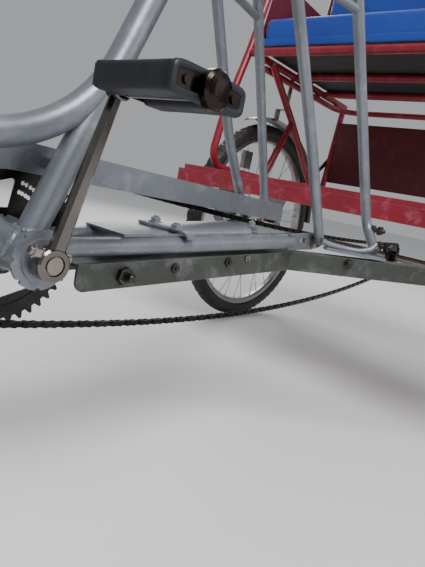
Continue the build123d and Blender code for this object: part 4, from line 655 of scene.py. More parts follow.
def add_bolt(surface: Surface, place: Array, direction: Array, width: float, height: float,
             stud: float = 0.0, washer: float = 0.0012) -> None:
    """Adds a hexagon head with a chamfer, a washer under it and a stud end over it.

    Args:
        surface: Mesh that the bolt goes into.
        place: Middle of the face that it sits on.
        direction: Outward.
        width: Width of the head over its corners.
        height: Height of the head.
        stud: How far the bolt's end stands out.
        washer: Thickness of the washer.
    """
    half, top = width / 2, washer + height
    surface.grid(turned(drum(0, washer, half * 1.25), place, direction), close_v=True)
    rows = drum(washer, top, half, head=(height * 0.2, half * 0.18))
    surface.grid(turned(rows, place, direction, sides=6, turn=0.3), close_v=True)
    if stud:
        rows = [(top, half * 0.5), (top + stud * 0.85, half * 0.5), (top + stud, half * 0.38),
                (top + stud, 0)]
        surface.grid(turned(rows, place, direction, sides=12), close_v=True)


def read_points(mesh: Mesh) -> Array:
    """Places of a mesh's vertices, one row each."""
    points = np.empty(len(mesh.vertices) * 3)
    mesh.vertices.foreach_get("co", points)
    return points.reshape(-1, 3)


def write_points(mesh: Mesh, points: Array) -> None:
    """Moves a mesh's vertices to new places."""
    mesh.vertices.foreach_set("co", points.ravel())
    mesh.update()


def full_turn(count: int) -> Array:
    """Even angles once round, without the last."""
    return np.linspace(0, 2 * pi, count, endpoint=False)


def circle(angles: Array) -> Array:
    """Cosine and sine of each angle, as the last axis."""
    return np.stack([np.cos(angles), np.sin(angles)], -1)


def squared_off(wave: Array, power: float) -> Array:
    """A sine or cosine raised to a power with its sign kept: a small power gives a squarer outline."""
    return np.sign(wave) * np.abs(wave) ** power


def name_of(side: int) -> str:
    """Word for a side of the middle plane."""
    return "left" if side > 0 else "right"


def middle_of(node: str) -> Array:
    """Middle of a node's box."""
    return sum(np.array(corner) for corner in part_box(node)) / 2


def tube_of(node: str, side: int) -> tuple[Array, Array, float, float, float, float]:
    """Axis and sizes of the straight round part of a node on one side, found from its mesh.

    Args:
        node: Name of the node.
        side: 1 for what lies left of the middle plane, -1 for what lies right of it.

    Returns:
        A point of the axis, its direction, the two ends along it, and the outer and inner radius.
    """
    points = np.unique(np.round(read_points(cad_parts[node].data), 6), axis=0)
    points = points[points[:, 1] * side > 0]
    centre = points.mean(axis=0)
    axis = np.linalg.svd(points - centre, full_matrices=False)[2][0]
    axis = axis * np.sign(axis[1]) * side
    reach = (points - centre) @ axis
    away = points - centre - reach[:, None] * axis
    low = reach < reach.min() + 0.002
    shift = away[low].mean(axis=0)
    centre, away = centre + shift, away - shift
    radius = np.linalg.norm(away, axis=1)
    return centre, axis, float(reach.min()), float(reach.max()), float(radius.max()), float(radius[low].min())


# Soft seats

@dataclass
class Cushion:
    """Boxed cushion: a cloth simulation swells its panels between the edges that are held."""

    node: str
    name: str
    rest: float | None = None
    forward: float | None = None
    held: float = 0.0
    finish: Finish = Finish.VINYL
    fill: float = 0.75
    shrink: float = 0.006
    voxel: float = 0.007
    pressure: float = 4.0
    swell: float = 0.012
    welt: float = 2.2
    mass: float = 0.3
    stretch: float = 12.0
    bending: float = 2.0
    frames: int = 20

    def build(self) -> Object:
        """Makes the swollen cushion.

        Returns:
            The cushion.
        """
        low, high = (np.array(corner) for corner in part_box(self.node))
        piece = self.block(low, high)
        self.inflate(piece)
        self.flatten(piece)
        smooth = piece.modifiers.new("smooth", "SUBSURF")
        smooth.levels = smooth.render_levels = 1
        finish_piece(piece, Body.FRAME, self.finish, (self.node,))
        return piece

    def block(self, low: Array, high: Array) -> Object:
        """Rounded block on the node's own mesh, a little smaller, as an even net of quads.

        Args:
            low: Lowest corner of the node.
            high: Highest corner of the node.

        Returns:
            The starting piece.
        """
        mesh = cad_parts[self.node].data.copy()
        merge_points(mesh, 1e-5)
        mesh.materials.clear()
        piece = new_object(self.name, mesh)
        centre, half = (low + high) / 2, (high - low) / 2
        write_points(mesh, centre + (read_points(mesh) - centre) * (half - self.shrink) / half)
        remesh = piece.modifiers.new("net", "REMESH")
        remesh.mode, remesh.voxel_size = "VOXEL", self.voxel
        self.apply(piece)
        return piece

    @staticmethod
    def apply(piece: Object) -> None:
        """Replaces a piece's mesh by its evaluated one and clears its modifiers."""
        graph = bpy.context.evaluated_depsgraph_get()
        mesh = bpy.data.meshes.new_from_object(piece.evaluated_get(graph))
        piece.modifiers.clear()
        piece.data = mesh
        mesh.shade_smooth()

    def inflate(self, piece: Object) -> None:
        """Runs the cloth under pressure, with the welted edges held, and caps how far it moves."""
        start = read_points(piece.data)
        low, high = start.min(axis=0), start.max(axis=0)
        near = np.minimum(start - low, high - start) < self.welt * self.voxel
        seated = start[:, 2] < low[2] + self.held * (high[2] - low[2])
        pinned = np.flatnonzero((near.sum(axis=1) >= 2) | seated)
        group = piece.vertex_groups.new(name="welts")
        group.add(pinned.tolist(), 1.0, "REPLACE")
        cloth = piece.modifiers.new("cloth", "CLOTH")
        settings = cloth.settings
        settings.quality, settings.mass = 5, self.mass
        settings.tension_stiffness = settings.compression_stiffness = self.stretch
        settings.bending_stiffness = self.bending
        settings.use_pressure, settings.uniform_pressure_force = True, self.pressure
        settings.effector_weights.gravity = 0.0
        settings.vertex_group_mass = group.name
        cloth.collision_settings.use_self_collision = False
        scene = bpy.context.scene
        cloth.point_cache.frame_start, cloth.point_cache.frame_end = 1, self.frames
        for number in range(1, self.frames + 1):
            scene.frame_set(number)
        graph = bpy.context.evaluated_depsgraph_get()
        move = read_points(piece.evaluated_get(graph).data) - start
        length = np.linalg.norm(move, axis=1, keepdims=True)
        move *= np.minimum(1.0, self.swell / np.maximum(length, 1e-9))
        if self.forward is not None:
            move[:, 0] = np.maximum(move[:, 0], self.forward)
        piece.modifiers.clear()
        piece.vertex_groups.clear()
        write_points(piece.data, start + move)
        scene.frame_set(1)

    def flatten(self, piece: Object) -> None:
        """Keeps every point above the plane that carries the cushion."""
        if self.rest is None:
            return
        points = read_points(piece.data)
        points[:, 2] = np.maximum(points[:, 2], self.rest)
        write_points(piece.data, points)


@dataclass
class CushionLip:
    """Vinyl that turns down over the front edge of the seat board."""

    aft: tuple[float, float] = (0.8935, 0.8982)
    up: tuple[float, float] = (0.8232, 0.842)
    half: float = 0.4555
    powers: tuple[float, float] = (0.4, 0.2)
    ripple: float = 0.0003
    ripple_rate: float = 90.0
    around: int = 24
    samples: int = 61

    def build(self) -> Object:
        """Strip as a rounded rectangle swept along Y: cosine and sine raised to a small power.

        Returns:
            The strip.
        """
        turn = full_turn(self.around)[None, :]
        x, z = squared_off(np.cos(turn), self.powers[0]), squared_off(np.sin(turn), self.powers[1])
        left = np.linspace(-self.half, self.half, self.samples)[:, None]
        middle = sum(self.aft) / 2, sum(self.up) / 2
        reach = np.diff(self.aft)[0] / 2, np.diff(self.up)[0] / 2
        wave = self.ripple * np.sin(left * self.ripple_rate)
        points = np.stack([CRANK_X - middle[0] + (reach[0] + wave) * x, left + 0 * x,
                           middle[1] + reach[1] * z + 0 * left], -1)
        surface = Surface()
        surface.grid(points, close_v=True, ends=True)
        return surface.build("seat_cushion_lip", Body.FRAME, Finish.VINYL, 60.0)


@dataclass
class Grips:
    """Ribbed rubber grips over the handlebar's ends."""

    ribs: int = 24
    depth: float = 0.0007
    cap: float = 0.004
    plain_end: float = 0.06
    end_round: float = 0.0025
    samples: int = 241

    def build(self) -> Object:
        """Each grip is a turned form whose radius dips at every rib.

        Returns:
            The pair of grips.
        """
        surface = Surface()
        for side in SIDES:
            centre, axis, low, high, radius, bore = tube_of("grips", side)
            share = np.linspace(0, 1, self.samples)
            dip = self.depth * np.clip(1.5 * np.cos(2 * pi * self.ribs * share) - 0.5, 0, 1)
            near_end = np.minimum(share, 1 - share)
            dip = dip * (near_end > self.plain_end)
            edge = np.clip(near_end * (high - low) / self.end_round, 0, 1)
            round_off = self.end_round * (1 - np.sqrt(np.clip(1 - (1 - edge) ** 2, 0, 1)))
            rows = [(low, bore)] + [(low + (high - low) * part, radius - cut) for part, cut in
                                    zip(share, dip + round_off)]
            rows += [(high, 0.0), (high - self.cap, 0.0), (high - self.cap, bore)]
            surface.grid(turned(rows, centre, axis, sides=28), close_u=True, close_v=True)
        return surface.build("ribbed_grips", Body.STEERING, Finish.GRIP, 40.0, ("grips",))


# Wheels

@dataclass
class Tyre:
    """Tyre with shoulder blocks, a broken middle rib and ribbed walls."""

    node: str
    name: str
    body: Body
    section_radius: float = 0.3055
    section_half: float = 0.0195
    half_width: float = 0.0227
    tread: float = 0.003
    tread_angle: float = 64.0
    bead_angle: float = 150.0
    wall_power: float = 0.85
    wall_lift: float = 0.3
    blocks: int = 68
    shoulder_from: float = 0.42
    middle_half: float = 0.26
    weave: float = 0.10
    rib_height: float = 0.09
    rib_span: tuple[float, float] = (1.15, 1.75)
    around: int = 748
    profile: int = 44

    def build(self) -> Object:
        """Tyre as a function of the turn and of the angle round the section.

        Radius = section centre + half height times cosine, plus tread height; side = half width times
        sine. The tread height is a product of soft steps in both parameters.

        Returns:
            The tyre.
        """
        centre = middle_of(self.node)
        turn = full_turn(self.around)[:, None]
        angle = np.radians(np.linspace(-self.bead_angle, self.bead_angle, self.profile))[None, :]
        place = np.degrees(angle) / self.tread_angle
        lift = self.height(turn, place)
        radius = self.section_radius + self.section_half * np.cos(angle) + lift * np.cos(angle)
        side = (self.half_width * squared_off(np.sin(angle), self.wall_power)
                + lift * np.sin(angle) * self.wall_lift)
        side = np.broadcast_to(side, radius.shape)
        points = np.stack([radius * np.cos(turn), side, radius * np.sin(turn)], -1)
        surface = Surface()
        surface.grid(centre + points, close_u=True, close_v=True)
        return surface.build(self.name, self.body, Finish.TYRE, 50.0, (self.node,))

    def height(self, turn: Array, place: Array) -> Array:
        """Height of the tread pattern and the wall ribs over the carcass.

        Args:
            turn: Angle round the wheel.
            place: Place across the tread, from -1 to 1 at its edges.

        Returns:
            Height in metres for each pair.
        """
        def gate(value: Array, sharp: float) -> Array:
            """Soft step from 0 to 1 where the value passes 0."""
            return np.clip(0.5 + value * sharp, 0.0, 1.0)

        wide = np.abs(place)
        beat = np.cos(self.blocks * turn + np.where(place > 0, pi, 0.0))
        shoulder = gate(wide - self.shoulder_from, 12.0) * gate(1.0 - wide, 9.0) * gate(beat + 0.25, 2.4)
        weave = self.weave * np.sin(self.blocks * turn / 2)
        middle = (gate(self.middle_half - np.abs(place - weave), 16.0)
                  * gate(np.cos(self.blocks * turn + pi / 2) + 0.55, 2.4))
        ribs = (self.rib_height * gate(wide - self.rib_span[0], 8.0) * gate(self.rib_span[1] - wide, 8.0)
                * (0.5 + 0.5 * np.cos(4 * self.blocks * turn)))
        return self.tread * np.maximum(np.maximum(shoulder, middle), ribs)


@dataclass
class WheelTrim:
    """Spoke nipples, valve and axle nuts of one wheel."""

    node: str
    body: Body
    nut_places: tuple[float, ...]
    spokes: int = 36
    nipple_radius: float = 0.0026
    nipple_length: float = 0.011
    nipple_collar: float = 0.003
    stagger: float = 0.003
    rim_floor: float = 0.271
    rim_gap: float = 0.001
    valve: tuple[tuple[float, float], ...] = (
        (0, 0), (0, 0.004), (0.004, 0.004), (0.005, 0.003), (0.028, 0.003), (0.029, 0.0022), (0.034, 0.0022),
        (0.034, 0),
    )
    nut_width: float = 0.031
    nut_height: float = 0.011

    def build(self) -> None:
        """Makes the wheel's small pieces."""
        centre = middle_of(self.node)
        middle, centre[1] = centre[1], 0.0
        trim = Surface()
        for index in range(self.spokes):
            flange = 1 if index % 2 == 0 else -1
            angle = 2 * pi * (index + 0.5) / self.spokes
            outward = np.array([-cos(angle), 0.0, sin(angle)])
            aside = np.array([0.0, middle + flange * self.stagger, 0.0])
            root = centre + outward * (self.rim_floor + self.rim_gap) + aside
            rows = [(0, 0), (0, self.nipple_radius * 1.25), (self.nipple_collar, self.nipple_radius),
                    (self.nipple_length, self.nipple_radius * 0.75), (self.nipple_length, 0)]
            trim.grid(turned(rows, root, -outward, sides=6), close_v=True)
        outward = np.array([-cos(pi / self.spokes * 2), 0.0, sin(pi / self.spokes * 2)])
        root = centre + outward * self.rim_floor + np.array([0, middle, 0])
        trim.grid(turned(self.valve, root, -outward), close_v=True)
        for place in self.nut_places:
            outside = np.array([0.0, 1.0 if place > middle else -1.0, 0.0])
            add_bolt(trim, centre + np.array([0, place, 0]), outside, self.nut_width, self.nut_height)
        trim.build(self.node + "_trim", self.body, Finish.PLATED)


# Drive

@dataclass
class Chain:
    """Roller chain along the two toothed wheels and its two sagging runs."""

    teeth: tuple[int, int] = (44, 18)
    pitch: float = 0.0127
    rear_aft: float = 1.152
    rear_up: float = 0.328
    line: float = 0.044
    sags: tuple[float, float] = (0.046, 0.020)
    plate_radius: float = 0.0041
    waist: float = 0.0031
    plate: float = 0.0011
    plate_offsets: tuple[tuple[float, float], ...] = ((-0.0034, 0.0023), (-0.0022, 0.0011))
    roller_radius: float = 0.0039
    roller_half: float = 0.0011
    pin_radius: float = 0.0019
    pin_half: float = 0.0037
    run_samples: int = 400
    cog_samples: int = 80
    ring_samples: int = 160

    def pitch_radius(self, teeth: int) -> float:
        """Radius of a toothed wheel's pitch circle: half the pitch over the sine of half a tooth's angle."""
        return self.pitch / (2 * sin(pi / teeth))

    @staticmethod
    def meeting(first: Array, first_radius: float, second: Array, second_radius: float) -> Array:
        """Upper meeting point of two circles in the side plane."""
        step = second - first
        apart = float(np.hypot(*step))
        along = (first_radius ** 2 - second_radius ** 2 + apart ** 2) / (2 * apart)
        rise = sqrt(first_radius ** 2 - along ** 2)
        return first + (along * step + rise * np.array([-step[1], step[0]])) / apart

    @staticmethod
    def toward(start: Array, end: Array, distance: float) -> Array:
        """Point at a distance from start on the way to end."""
        return start + (end - start) / np.hypot(*(end - start)) * distance

    @staticmethod
    def arc(centre: Array, start: Array, middle: Array, end: Array, count: int) -> Array:
        """Points of a circle's arc from start through middle to end."""
        angles = np.unwrap([np.arctan2(*(point - centre)[::-1]) for point in (start, middle, end)])
        turn = np.linspace(angles[0], angles[2], count, endpoint=False)
        radius = np.hypot(*(start - centre))
        return centre + radius * circle(turn)

    def path(self) -> Array:
        """Pitch line of the chain in the side plane, as (aft, up) points."""
        ring, cog = np.array([0.0, CRANK_UP]), np.array([self.rear_aft, self.rear_up])
        ring_radius, cog_radius = (self.pitch_radius(count) for count in self.teeth)
        low, high = (self.rear_aft ** 2 / (8 * sag) for sag in self.sags)
        low_centre = self.meeting(ring, low - ring_radius, cog, low - cog_radius)
        high_centre = self.meeting(ring, high + ring_radius, cog, high + cog_radius)
        ring_low = self.toward(ring, low_centre, -ring_radius)
        cog_low = self.toward(cog, low_centre, -cog_radius)
        cog_high = self.toward(cog, high_centre, cog_radius)
        ring_high = self.toward(ring, high_centre, ring_radius)
        low_middle = self.toward(low_centre, (ring_low + cog_low) / 2, low)
        high_middle = self.toward(high_centre, (cog_high + ring_high) / 2, high)
        rear, front = cog + np.array([cog_radius, 0]), ring - np.array([ring_radius, 0])
        runs = [
            self.arc(low_centre, ring_low, low_middle, cog_low, self.run_samples),
            self.arc(cog, cog_low, rear, cog_high, self.cog_samples),
            self.arc(high_centre, cog_high, high_middle, ring_high, self.run_samples),
            self.arc(ring, ring_high, front, ring_low, self.ring_samples),
        ]
        return np.vstack(runs)

    def joints(self) -> Array:
        """Pin places at even steps of about one pitch along the path."""
        path = self.path()
        closed = np.vstack([path, path[:1]])
        length = np.concatenate([[0], np.cumsum(np.hypot(*np.diff(closed, axis=0).T))])
        count = 2 * round(length[-1] / self.pitch / 2)
        steps = np.arange(count) / count * length[-1]
        return np.stack([np.interp(steps, length, closed[:, axis]) for axis in (0, 1)], -1)

    def prisms(self, surface: Surface, outlines: Array, low: float, high: float) -> None:
        """Adds flat outlines of the side plane as prisms between two distances from the chain line."""
        layers = [np.stack([CRANK_X - outlines[..., 0], np.full(outlines.shape[:-1], -self.line + edge),
                            outlines[..., 1]], -1) for edge in (low, high)]
        surface.prisms(np.stack(layers, 1))

    def build(self) -> Object:
        """Plates are waisted ovals from pin to pin; rollers and pins are short cylinders."""
        pins = self.joints()
        after = np.roll(pins, -1, axis=0)
        along = (after - pins) / np.hypot(*(after - pins).T)[:, None]
        normal = np.stack([-along[:, 1], along[:, 0]], -1)
        first = circle(np.radians(np.linspace(90, 270, 7))) * self.plate_radius
        middle = np.array([[0.5 * self.pitch, -self.waist], [0.5 * self.pitch, self.waist]])
        second = -first + np.array([self.pitch, 0])
        outline = np.vstack([first, middle[:1], second, middle[1:]])
        flat = pins[:, None] + outline[None, :, :1] * along[:, None] + outline[None, :, 1:] * normal[:, None]
        surface = Surface()
        for parity, offsets in enumerate(self.plate_offsets):
            for offset in offsets:
                self.prisms(surface, flat[parity::2], offset, offset + self.plate)
        for radius, half in ((self.roller_radius, self.roller_half), (self.pin_radius, self.pin_half)):
            ring = pins[:, None] + radius * circle(np.arange(8) * pi / 4)[None]
            self.prisms(surface, ring, -half, half)
        return surface.build("roller_chain", Body.FRAME, Finish.CHAIN, 40.0, ("chain",))


@dataclass
class Crank:
    """Cotter-type crank: bevelled arm, boss, pedal eye, cotter pin and its nut."""

    side: int
    inner: float
    length: float = 0.168
    lean: float = radians(11.8)
    thickness: float = 0.015
    outset: float = 0.014
    bevel: float = 0.0034
    widths: tuple[float, float] = (0.0172, 0.0118)
    depths: tuple[float, float] = (0.0112, 0.0088)
    span: tuple[float, float] = (0.011, 0.159)
    boss_radius: float = 0.0162
    spindle_radius: float = 0.00805
    eye_radius: float = 0.0115
    eye_bore: float = 0.0047
    pin_offset: float = 0.0085
    pin_radius: float = 0.0043
    nut_radius: float = 0.0069
    inner_chamfer: float = 0.001
    boss_chamfer: float = 0.0018
    eye_chamfer: float = 0.0015
    recess_depth: float = 0.0016
    recess_radii: tuple[float, float] = (0.0098, 0.0092)
    pin_foot: tuple[float, float] = (-0.0182, -0.0112)
    pin_thread: tuple[float, float] = (0.0112, 0.0252)
    foot_chamfer: tuple[float, float] = (0.001, 0.0007)
    thread_chamfer: tuple[float, float] = (0.001, 0.0009)
    nut_span: tuple[float, float] = (0.0146, 0.022)
    nut_foot: tuple[float, float] = (0.0008, 0.0007)
    nut_head: tuple[float, float] = (0.0015, 0.0011)
    arm_sections: int = 12

    def build(self) -> Object:
        """Arm as a bevelled rectangle that shrinks evenly along its length; the rest is turned.

        Returns:
            The crank.
        """
        along = np.array([-sin(self.lean), 0.0, cos(self.lean)]) * self.side
        wide = np.array([cos(self.lean), 0.0, sin(self.lean)])
        left = np.array([0.0, 1.0, 0.0]) * self.side
        hub = at(0, self.side * self.inner, CRANK_UP)
        surface = Surface()
        surface.grid(self.arm(hub, along, wide, left), close_v=True, ends=True)
        top = self.thickness
        floor, inner = top - self.recess_depth, (self.inner_chamfer, self.inner_chamfer)
        rows = drum(0, top, self.boss_radius, self.spindle_radius, inner, (self.boss_chamfer,) * 2)[:-1]
        rows += [(top, self.recess_radii[0]), (floor, self.recess_radii[1]), (floor, self.spindle_radius)]
        surface.grid(turned(rows, hub, left, 40), close_u=True, close_v=True)
        eye = hub + along * self.length + left * self.outset
        rows = drum(0, top, self.eye_radius, self.eye_bore, inner, (self.eye_chamfer,) * 2)
        surface.grid(turned(rows, eye, left, 32), close_u=True, close_v=True)
        label = name_of(self.side)
        pin = Surface()
        self.cotter(pin, hub + left * self.thickness / 2, along)
        pin.build(f"crank_{label}_cotter", Body.CRANKSET, Finish.STEEL, 30.0)
        return surface.build(f"crank_{label}_forging", Body.CRANKSET, Finish.CRANK, 30.0, (f"crank_{label}",))

    def arm(self, hub: Array, along: Array, wide: Array, left: Array) -> Array:
        """Grid of the arm's sections, from the boss to the eye."""
        corners = np.array([(1, 1, 0, 1), (1, 1, 1, 0), (1, -1, 1, 0), (1, -1, 0, 1),
                            (-1, -1, 0, 1), (-1, -1, 1, 0), (-1, 1, 1, 0), (-1, 1, 0, 1)], dtype=float)
        reach = np.linspace(*self.span, self.arm_sections)[:, None]
        share = reach / self.length
        width, depth = (ends[0] + (ends[1] - ends[0]) * share for ends in (self.widths, self.depths))
        across_arm = corners[:, 0] * (width / 2 - self.bevel * corners[:, 3])
        through = corners[:, 1] * (depth / 2 - self.bevel * corners[:, 2])
        middle = self.thickness / 2 + self.outset * share
        return (hub + reach[..., None] * along + across_arm[..., None] * wide
                + (through + middle)[..., None] * left)

    def cotter(self, surface: Surface, middle: Array, along: Array) -> None:
        """Adds the pin's two ends and its nut; the nut is on the side that the pin points to."""
        pointing = np.array([along[2], 0.0, -along[0]])
        foot = middle + along * self.pin_offset
        for rows in (drum(*self.pin_foot, self.pin_radius, foot=self.foot_chamfer),
                     drum(*self.pin_thread, self.pin_radius, head=self.thread_chamfer)):
            surface.grid(turned(rows, foot, pointing, 20), close_v=True)
        rows = drum(*self.nut_span, self.nut_radius, foot=self.nut_foot, head=self.nut_head)
        surface.grid(turned(rows, foot, pointing, 6, 0.4), close_v=True)


@dataclass
class PedalRubber:
    """Two rubber blocks with fine grooves and crowned ends, and the rubber rim round the end plate."""

    side: int
    grooves: int = 34
    groove_depth: float = 0.0004
    plain_end: float = 0.06
    crown_length: float = 0.035
    crown: tuple[float, float] = (0.14, 0.16)
    dish: float = 0.0004
    power: float = 2 / 7
    rim_power: float = 0.3
    rim_inset: float = 0.0018
    rim_out: float = 0.0016
    rim_radius: float = 0.0036
    samples: int = 205
    around: int = 56

    def build(self) -> Object:
        """Block as a rounded rectangle swept along Y; its size dips at each groove and near the ends.

        The rim is a tube along a superellipse: cosine and sine raised to 0.3.

        Returns:
            The blocks and the rim.
        """
        label = name_of(self.side)
        low, high = (np.array(corner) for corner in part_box(f"pedal_{label}_blocks"))
        centre, width = (low + high) / 2, (high[0] - low[0]) / 3
        surface = Surface()
        for shift in (-1, 1):
            middle = centre + np.array([shift * width, 0, 0])
            surface.grid(self.block(middle, width / 2, (high[2] - low[2]) / 2, low[1], high[1]), close_v=True)
        half = (high - low) / 2 - self.rim_inset
        end = np.array([centre[0], (high if self.side > 0 else low)[1] + self.side * self.rim_out, centre[2]])
        turn = full_turn(120)
        bend = [squared_off(wave, self.rim_power) for wave in (np.cos(turn), np.sin(turn))]
        path = end + np.stack([half[0] * bend[0], 0 * turn, half[2] * bend[1]], -1)
        surface.grid(swept(path, self.rim_radius, 10, closed=True), close_u=True, close_v=True)
        body = Body.PEDAL_LEFT if self.side > 0 else Body.PEDAL_RIGHT
        return surface.build(f"pedal_{label}_rubber", body, Finish.PEDAL, 60.0, (f"pedal_{label}_blocks",))

    def block(self, middle: Array, half_x: float, half_z: float, y_low: float, y_high: float) -> Array:
        """Grid of one block.

        Args:
            middle: Centre of the block.
            half_x: Half its width.
            half_z: Half its height.
            y_low: Its right end.
            y_high: Its left end.

        Returns:
            Grid of points, first along Y and then round the section.
        """
        share = np.linspace(0, 1, self.samples)[:, None]
        turn = full_turn(self.around)[None, :]
        x, z = squared_off(np.cos(turn), self.power), squared_off(np.sin(turn), self.power)
        near_end = np.minimum(share, 1 - share)
        end = np.clip(near_end / self.crown_length, 0, 1)
        round_off = np.sqrt(np.maximum(0.0, 1 - (1 - end) ** 2))
        groove = self.groove_depth * np.clip(np.cos(2 * pi * self.grooves * share) * 2.5 - 1.2, 0, 1)
        groove = groove * np.clip(near_end / self.plain_end - 0.6, 0, 1)
        reach_x = (half_x - groove) * (1 - self.crown[0] * (1 - round_off))
        reach_z = (half_z - groove) * (1 - self.crown[1] * (1 - round_off)) - self.dish * np.sin(pi * share)
        shut = np.where((share <= 0) | (share >= 1), 0.0, 1.0)
        y = y_low + (y_high - y_low) * share + np.zeros_like(turn)
        return np.stack([middle[0] + reach_x * x * shut, y, middle[2] + reach_z * z * shut], -1)


# Small hardware

def mirrored(values: Place, side: int) -> Array:
    """Place or direction on one side of the middle plane, from the one that is given for the left."""
    return np.array(values, dtype=float) * (1, side, 1)


@dataclass(frozen=True)
class Fastener:
    """Nut or bolt head on one side of the tricycle, with the direction that it faces."""

    place: Place
    width: float
    height: float = 0.005
    stud: float = 0.003
    facing: Place = (0, 1, 0)

    def add(self, surface: Surface, side: int = 1) -> None:
        """Adds the fastener to a mesh, mirrored where the side is -1."""
        add_bolt(surface, at(*mirrored(self.place, side)), mirrored(self.facing, side), self.width,
                 self.height, self.stud)


@dataclass
class Hardware:
    """Bolts, straps, beads of weld and clamp rods of the frame and the irons."""

    dark: tuple[Fastener, ...] = (
        Fastener((0.0974, 0.0401, 0.3032), 0.021, 0.008, 0.010), Fastener((0.1705, 0.0431, 0.3134), 0.012),
        Fastener((0.2648, 0.0475, 0.3232), 0.013),
        Fastener((0.4773, 0.1223, 0.341), 0.012, facing=(0.707, 0.707, 0)),
    )
    light: tuple[Fastener, ...] = (
        Fastener((0.3034, 0.0495, 0.3299), 0.009, 0.004), Fastener((0.462, 0.0645, 0.3634), 0.019, 0.008),
    )
    sheet: tuple[Fastener, ...] = (
        Fastener((0.173, 0.034, 0.3576), 0.014, 0.005, 0.002, (0, 0, 1)),
        Fastener((0.182, -0.012, 0.3584), 0.014, 0.005, 0.002, (0, 0, 1)),
        Fastener((0.355, 0.012, 0.3722), 0.011, 0.004, 0.002, (0, 0, 1)),
        Fastener((0.318, 0.047, 0.3672), 0.010, 0.004, 0.002, (0, 0, 1)),
    )
    straps: tuple[tuple[float, float, float, float], ...] = ((0.176, -0.026, 0.0555, 0.3534),)
    strap_width: float = 0.015
    strap_thickness: float = 0.0042
    strap_bevel: float = 0.0008
    strap_drop: float = 0.004
    strap_turn: float = 0.01
    strap_skew: float = 0.08
    foot_bar: tuple[Place, ...] = (
        (0.5245, 0.1415, 0.382), (0.514, 0.138, 0.3685), (0.499, 0.126, 0.3625), (0.480, 0.107, 0.3625),
        (0.460, 0.090, 0.365), (0.444, 0.0805, 0.3695),
    )
    foot_radius: float = 0.0047
    tube_angles: tuple[float, float] = (112.1, 32.0)
    rods: tuple[tuple[Place, Place], ...] = (
        ((0.5465, 0.108, 0.400), (0.1, 0.995, 0.0)), ((0.529, 0.132, 0.377), (0.1, 0.995, 0.0)),
    )
    rod_length: float = 0.034
    rod_radius: float = 0.0031
    thread_depth: float = 0.0003
    thread_step: float = 0.0006
    rod_nuts: tuple[float, float] = (0.0095, 0.022)
    rod_nut_radius: float = 0.0072
    rod_nut_height: float = 0.0072
    rod_nut_chamfer: tuple[float, float] = (0.001, 0.0012)

    def build(self) -> None:
        """Makes the small hardware of both sides."""
        dark, light, silver = Surface(), Surface(), Surface()
        for side in SIDES:
            for surface, fasteners in ((dark, self.dark), (light, self.light)):
                for item in fasteners:
                    item.add(surface, side)
            for place, facing in self.rods:
                self.rod(dark, at(*mirrored(place, side)), mirrored(facing, side))
            self.bar(silver, side)
        for item in self.sheet:
            item.add(silver)
        for aft, low, high, up in self.straps:
            self.strap(silver, aft, low, high, up)
        for angle in self.tube_angles:
            self.bead(silver, angle)
        dark.build("dark_nuts", Body.FRAME, Finish.NUT)
        light.build("bright_bolts", Body.FRAME, Finish.STEEL)
        silver.build("silver_straps", Body.FRAME, Finish.SILVER, 40.0)

    def rod(self, surface: Surface, start: Array, facing: Array) -> None:
        """Adds a threaded rod with two nuts, as turned forms along its axis."""
        thread = np.arange(0.0, self.rod_length, self.thread_step)
        rows = [(0.0, 0.0)] + [(place, self.rod_radius + self.thread_depth * (index % 2))
                               for index, place in enumerate(thread)]
        surface.grid(turned(rows + [(float(thread[-1]), 0.0)], start, facing, 12), close_v=True)
        for low in self.rod_nuts:
            rows = drum(low, low + self.rod_nut_height, self.rod_nut_radius, head=self.rod_nut_chamfer)
            surface.grid(turned(rows, start, facing, 6, low * 60), close_v=True)

    def strap(self, surface: Surface, aft: float, low: float, high: float, up: float) -> None:
        """Adds a flat bar across the stay sheet, its left end turned down: a bevelled rectangle along Y."""
        bevel = self.strap_bevel
        wide, thick = self.strap_width / 2, self.strap_thickness / 2
        ring = np.array([(wide - bevel, thick), (wide, thick - bevel), (wide, bevel - thick),
                         (wide - bevel, -thick), (bevel - wide, -thick), (-wide, bevel - thick),
                         (-wide, thick - bevel), (bevel - wide, thick)])
        left = np.linspace(low, high, 25)[:, None]
        drop = self.strap_drop * np.clip((left - high + self.strap_turn) / self.strap_turn, 0, 1) ** 2
        points = np.stack([CRANK_X - aft - self.strap_skew * left + ring[:, 0], left + 0 * ring[:, 0],
                           up + thick - drop + ring[:, 1]], -1)
        surface.grid(points, close_v=True, ends=True)

    def bar(self, surface: Surface, side: int) -> None:
        """Adds the bent bar from the hoop's foot forward to the dropout: a tube along a smooth path."""
        corners = np.array([at(*mirrored(place, side)) for place in self.foot_bar])
        steps = np.linspace(0, len(corners) - 1, 60)
        count = np.arange(len(corners))
        path = np.stack([np.interp(steps, count, corners[:, axis]) for axis in range(3)], -1)
        kernel = np.hanning(13) / np.hanning(13).sum()
        padded = np.vstack([np.repeat(path[:1], 6, axis=0), path, np.repeat(path[-1:], 6, axis=0)])
        path = np.stack([np.convolve(padded[:, axis], kernel, "valid") for axis in range(3)], -1)
        surface.grid(swept(path[3:-3], self.foot_radius, 14), close_v=True, ends=True)

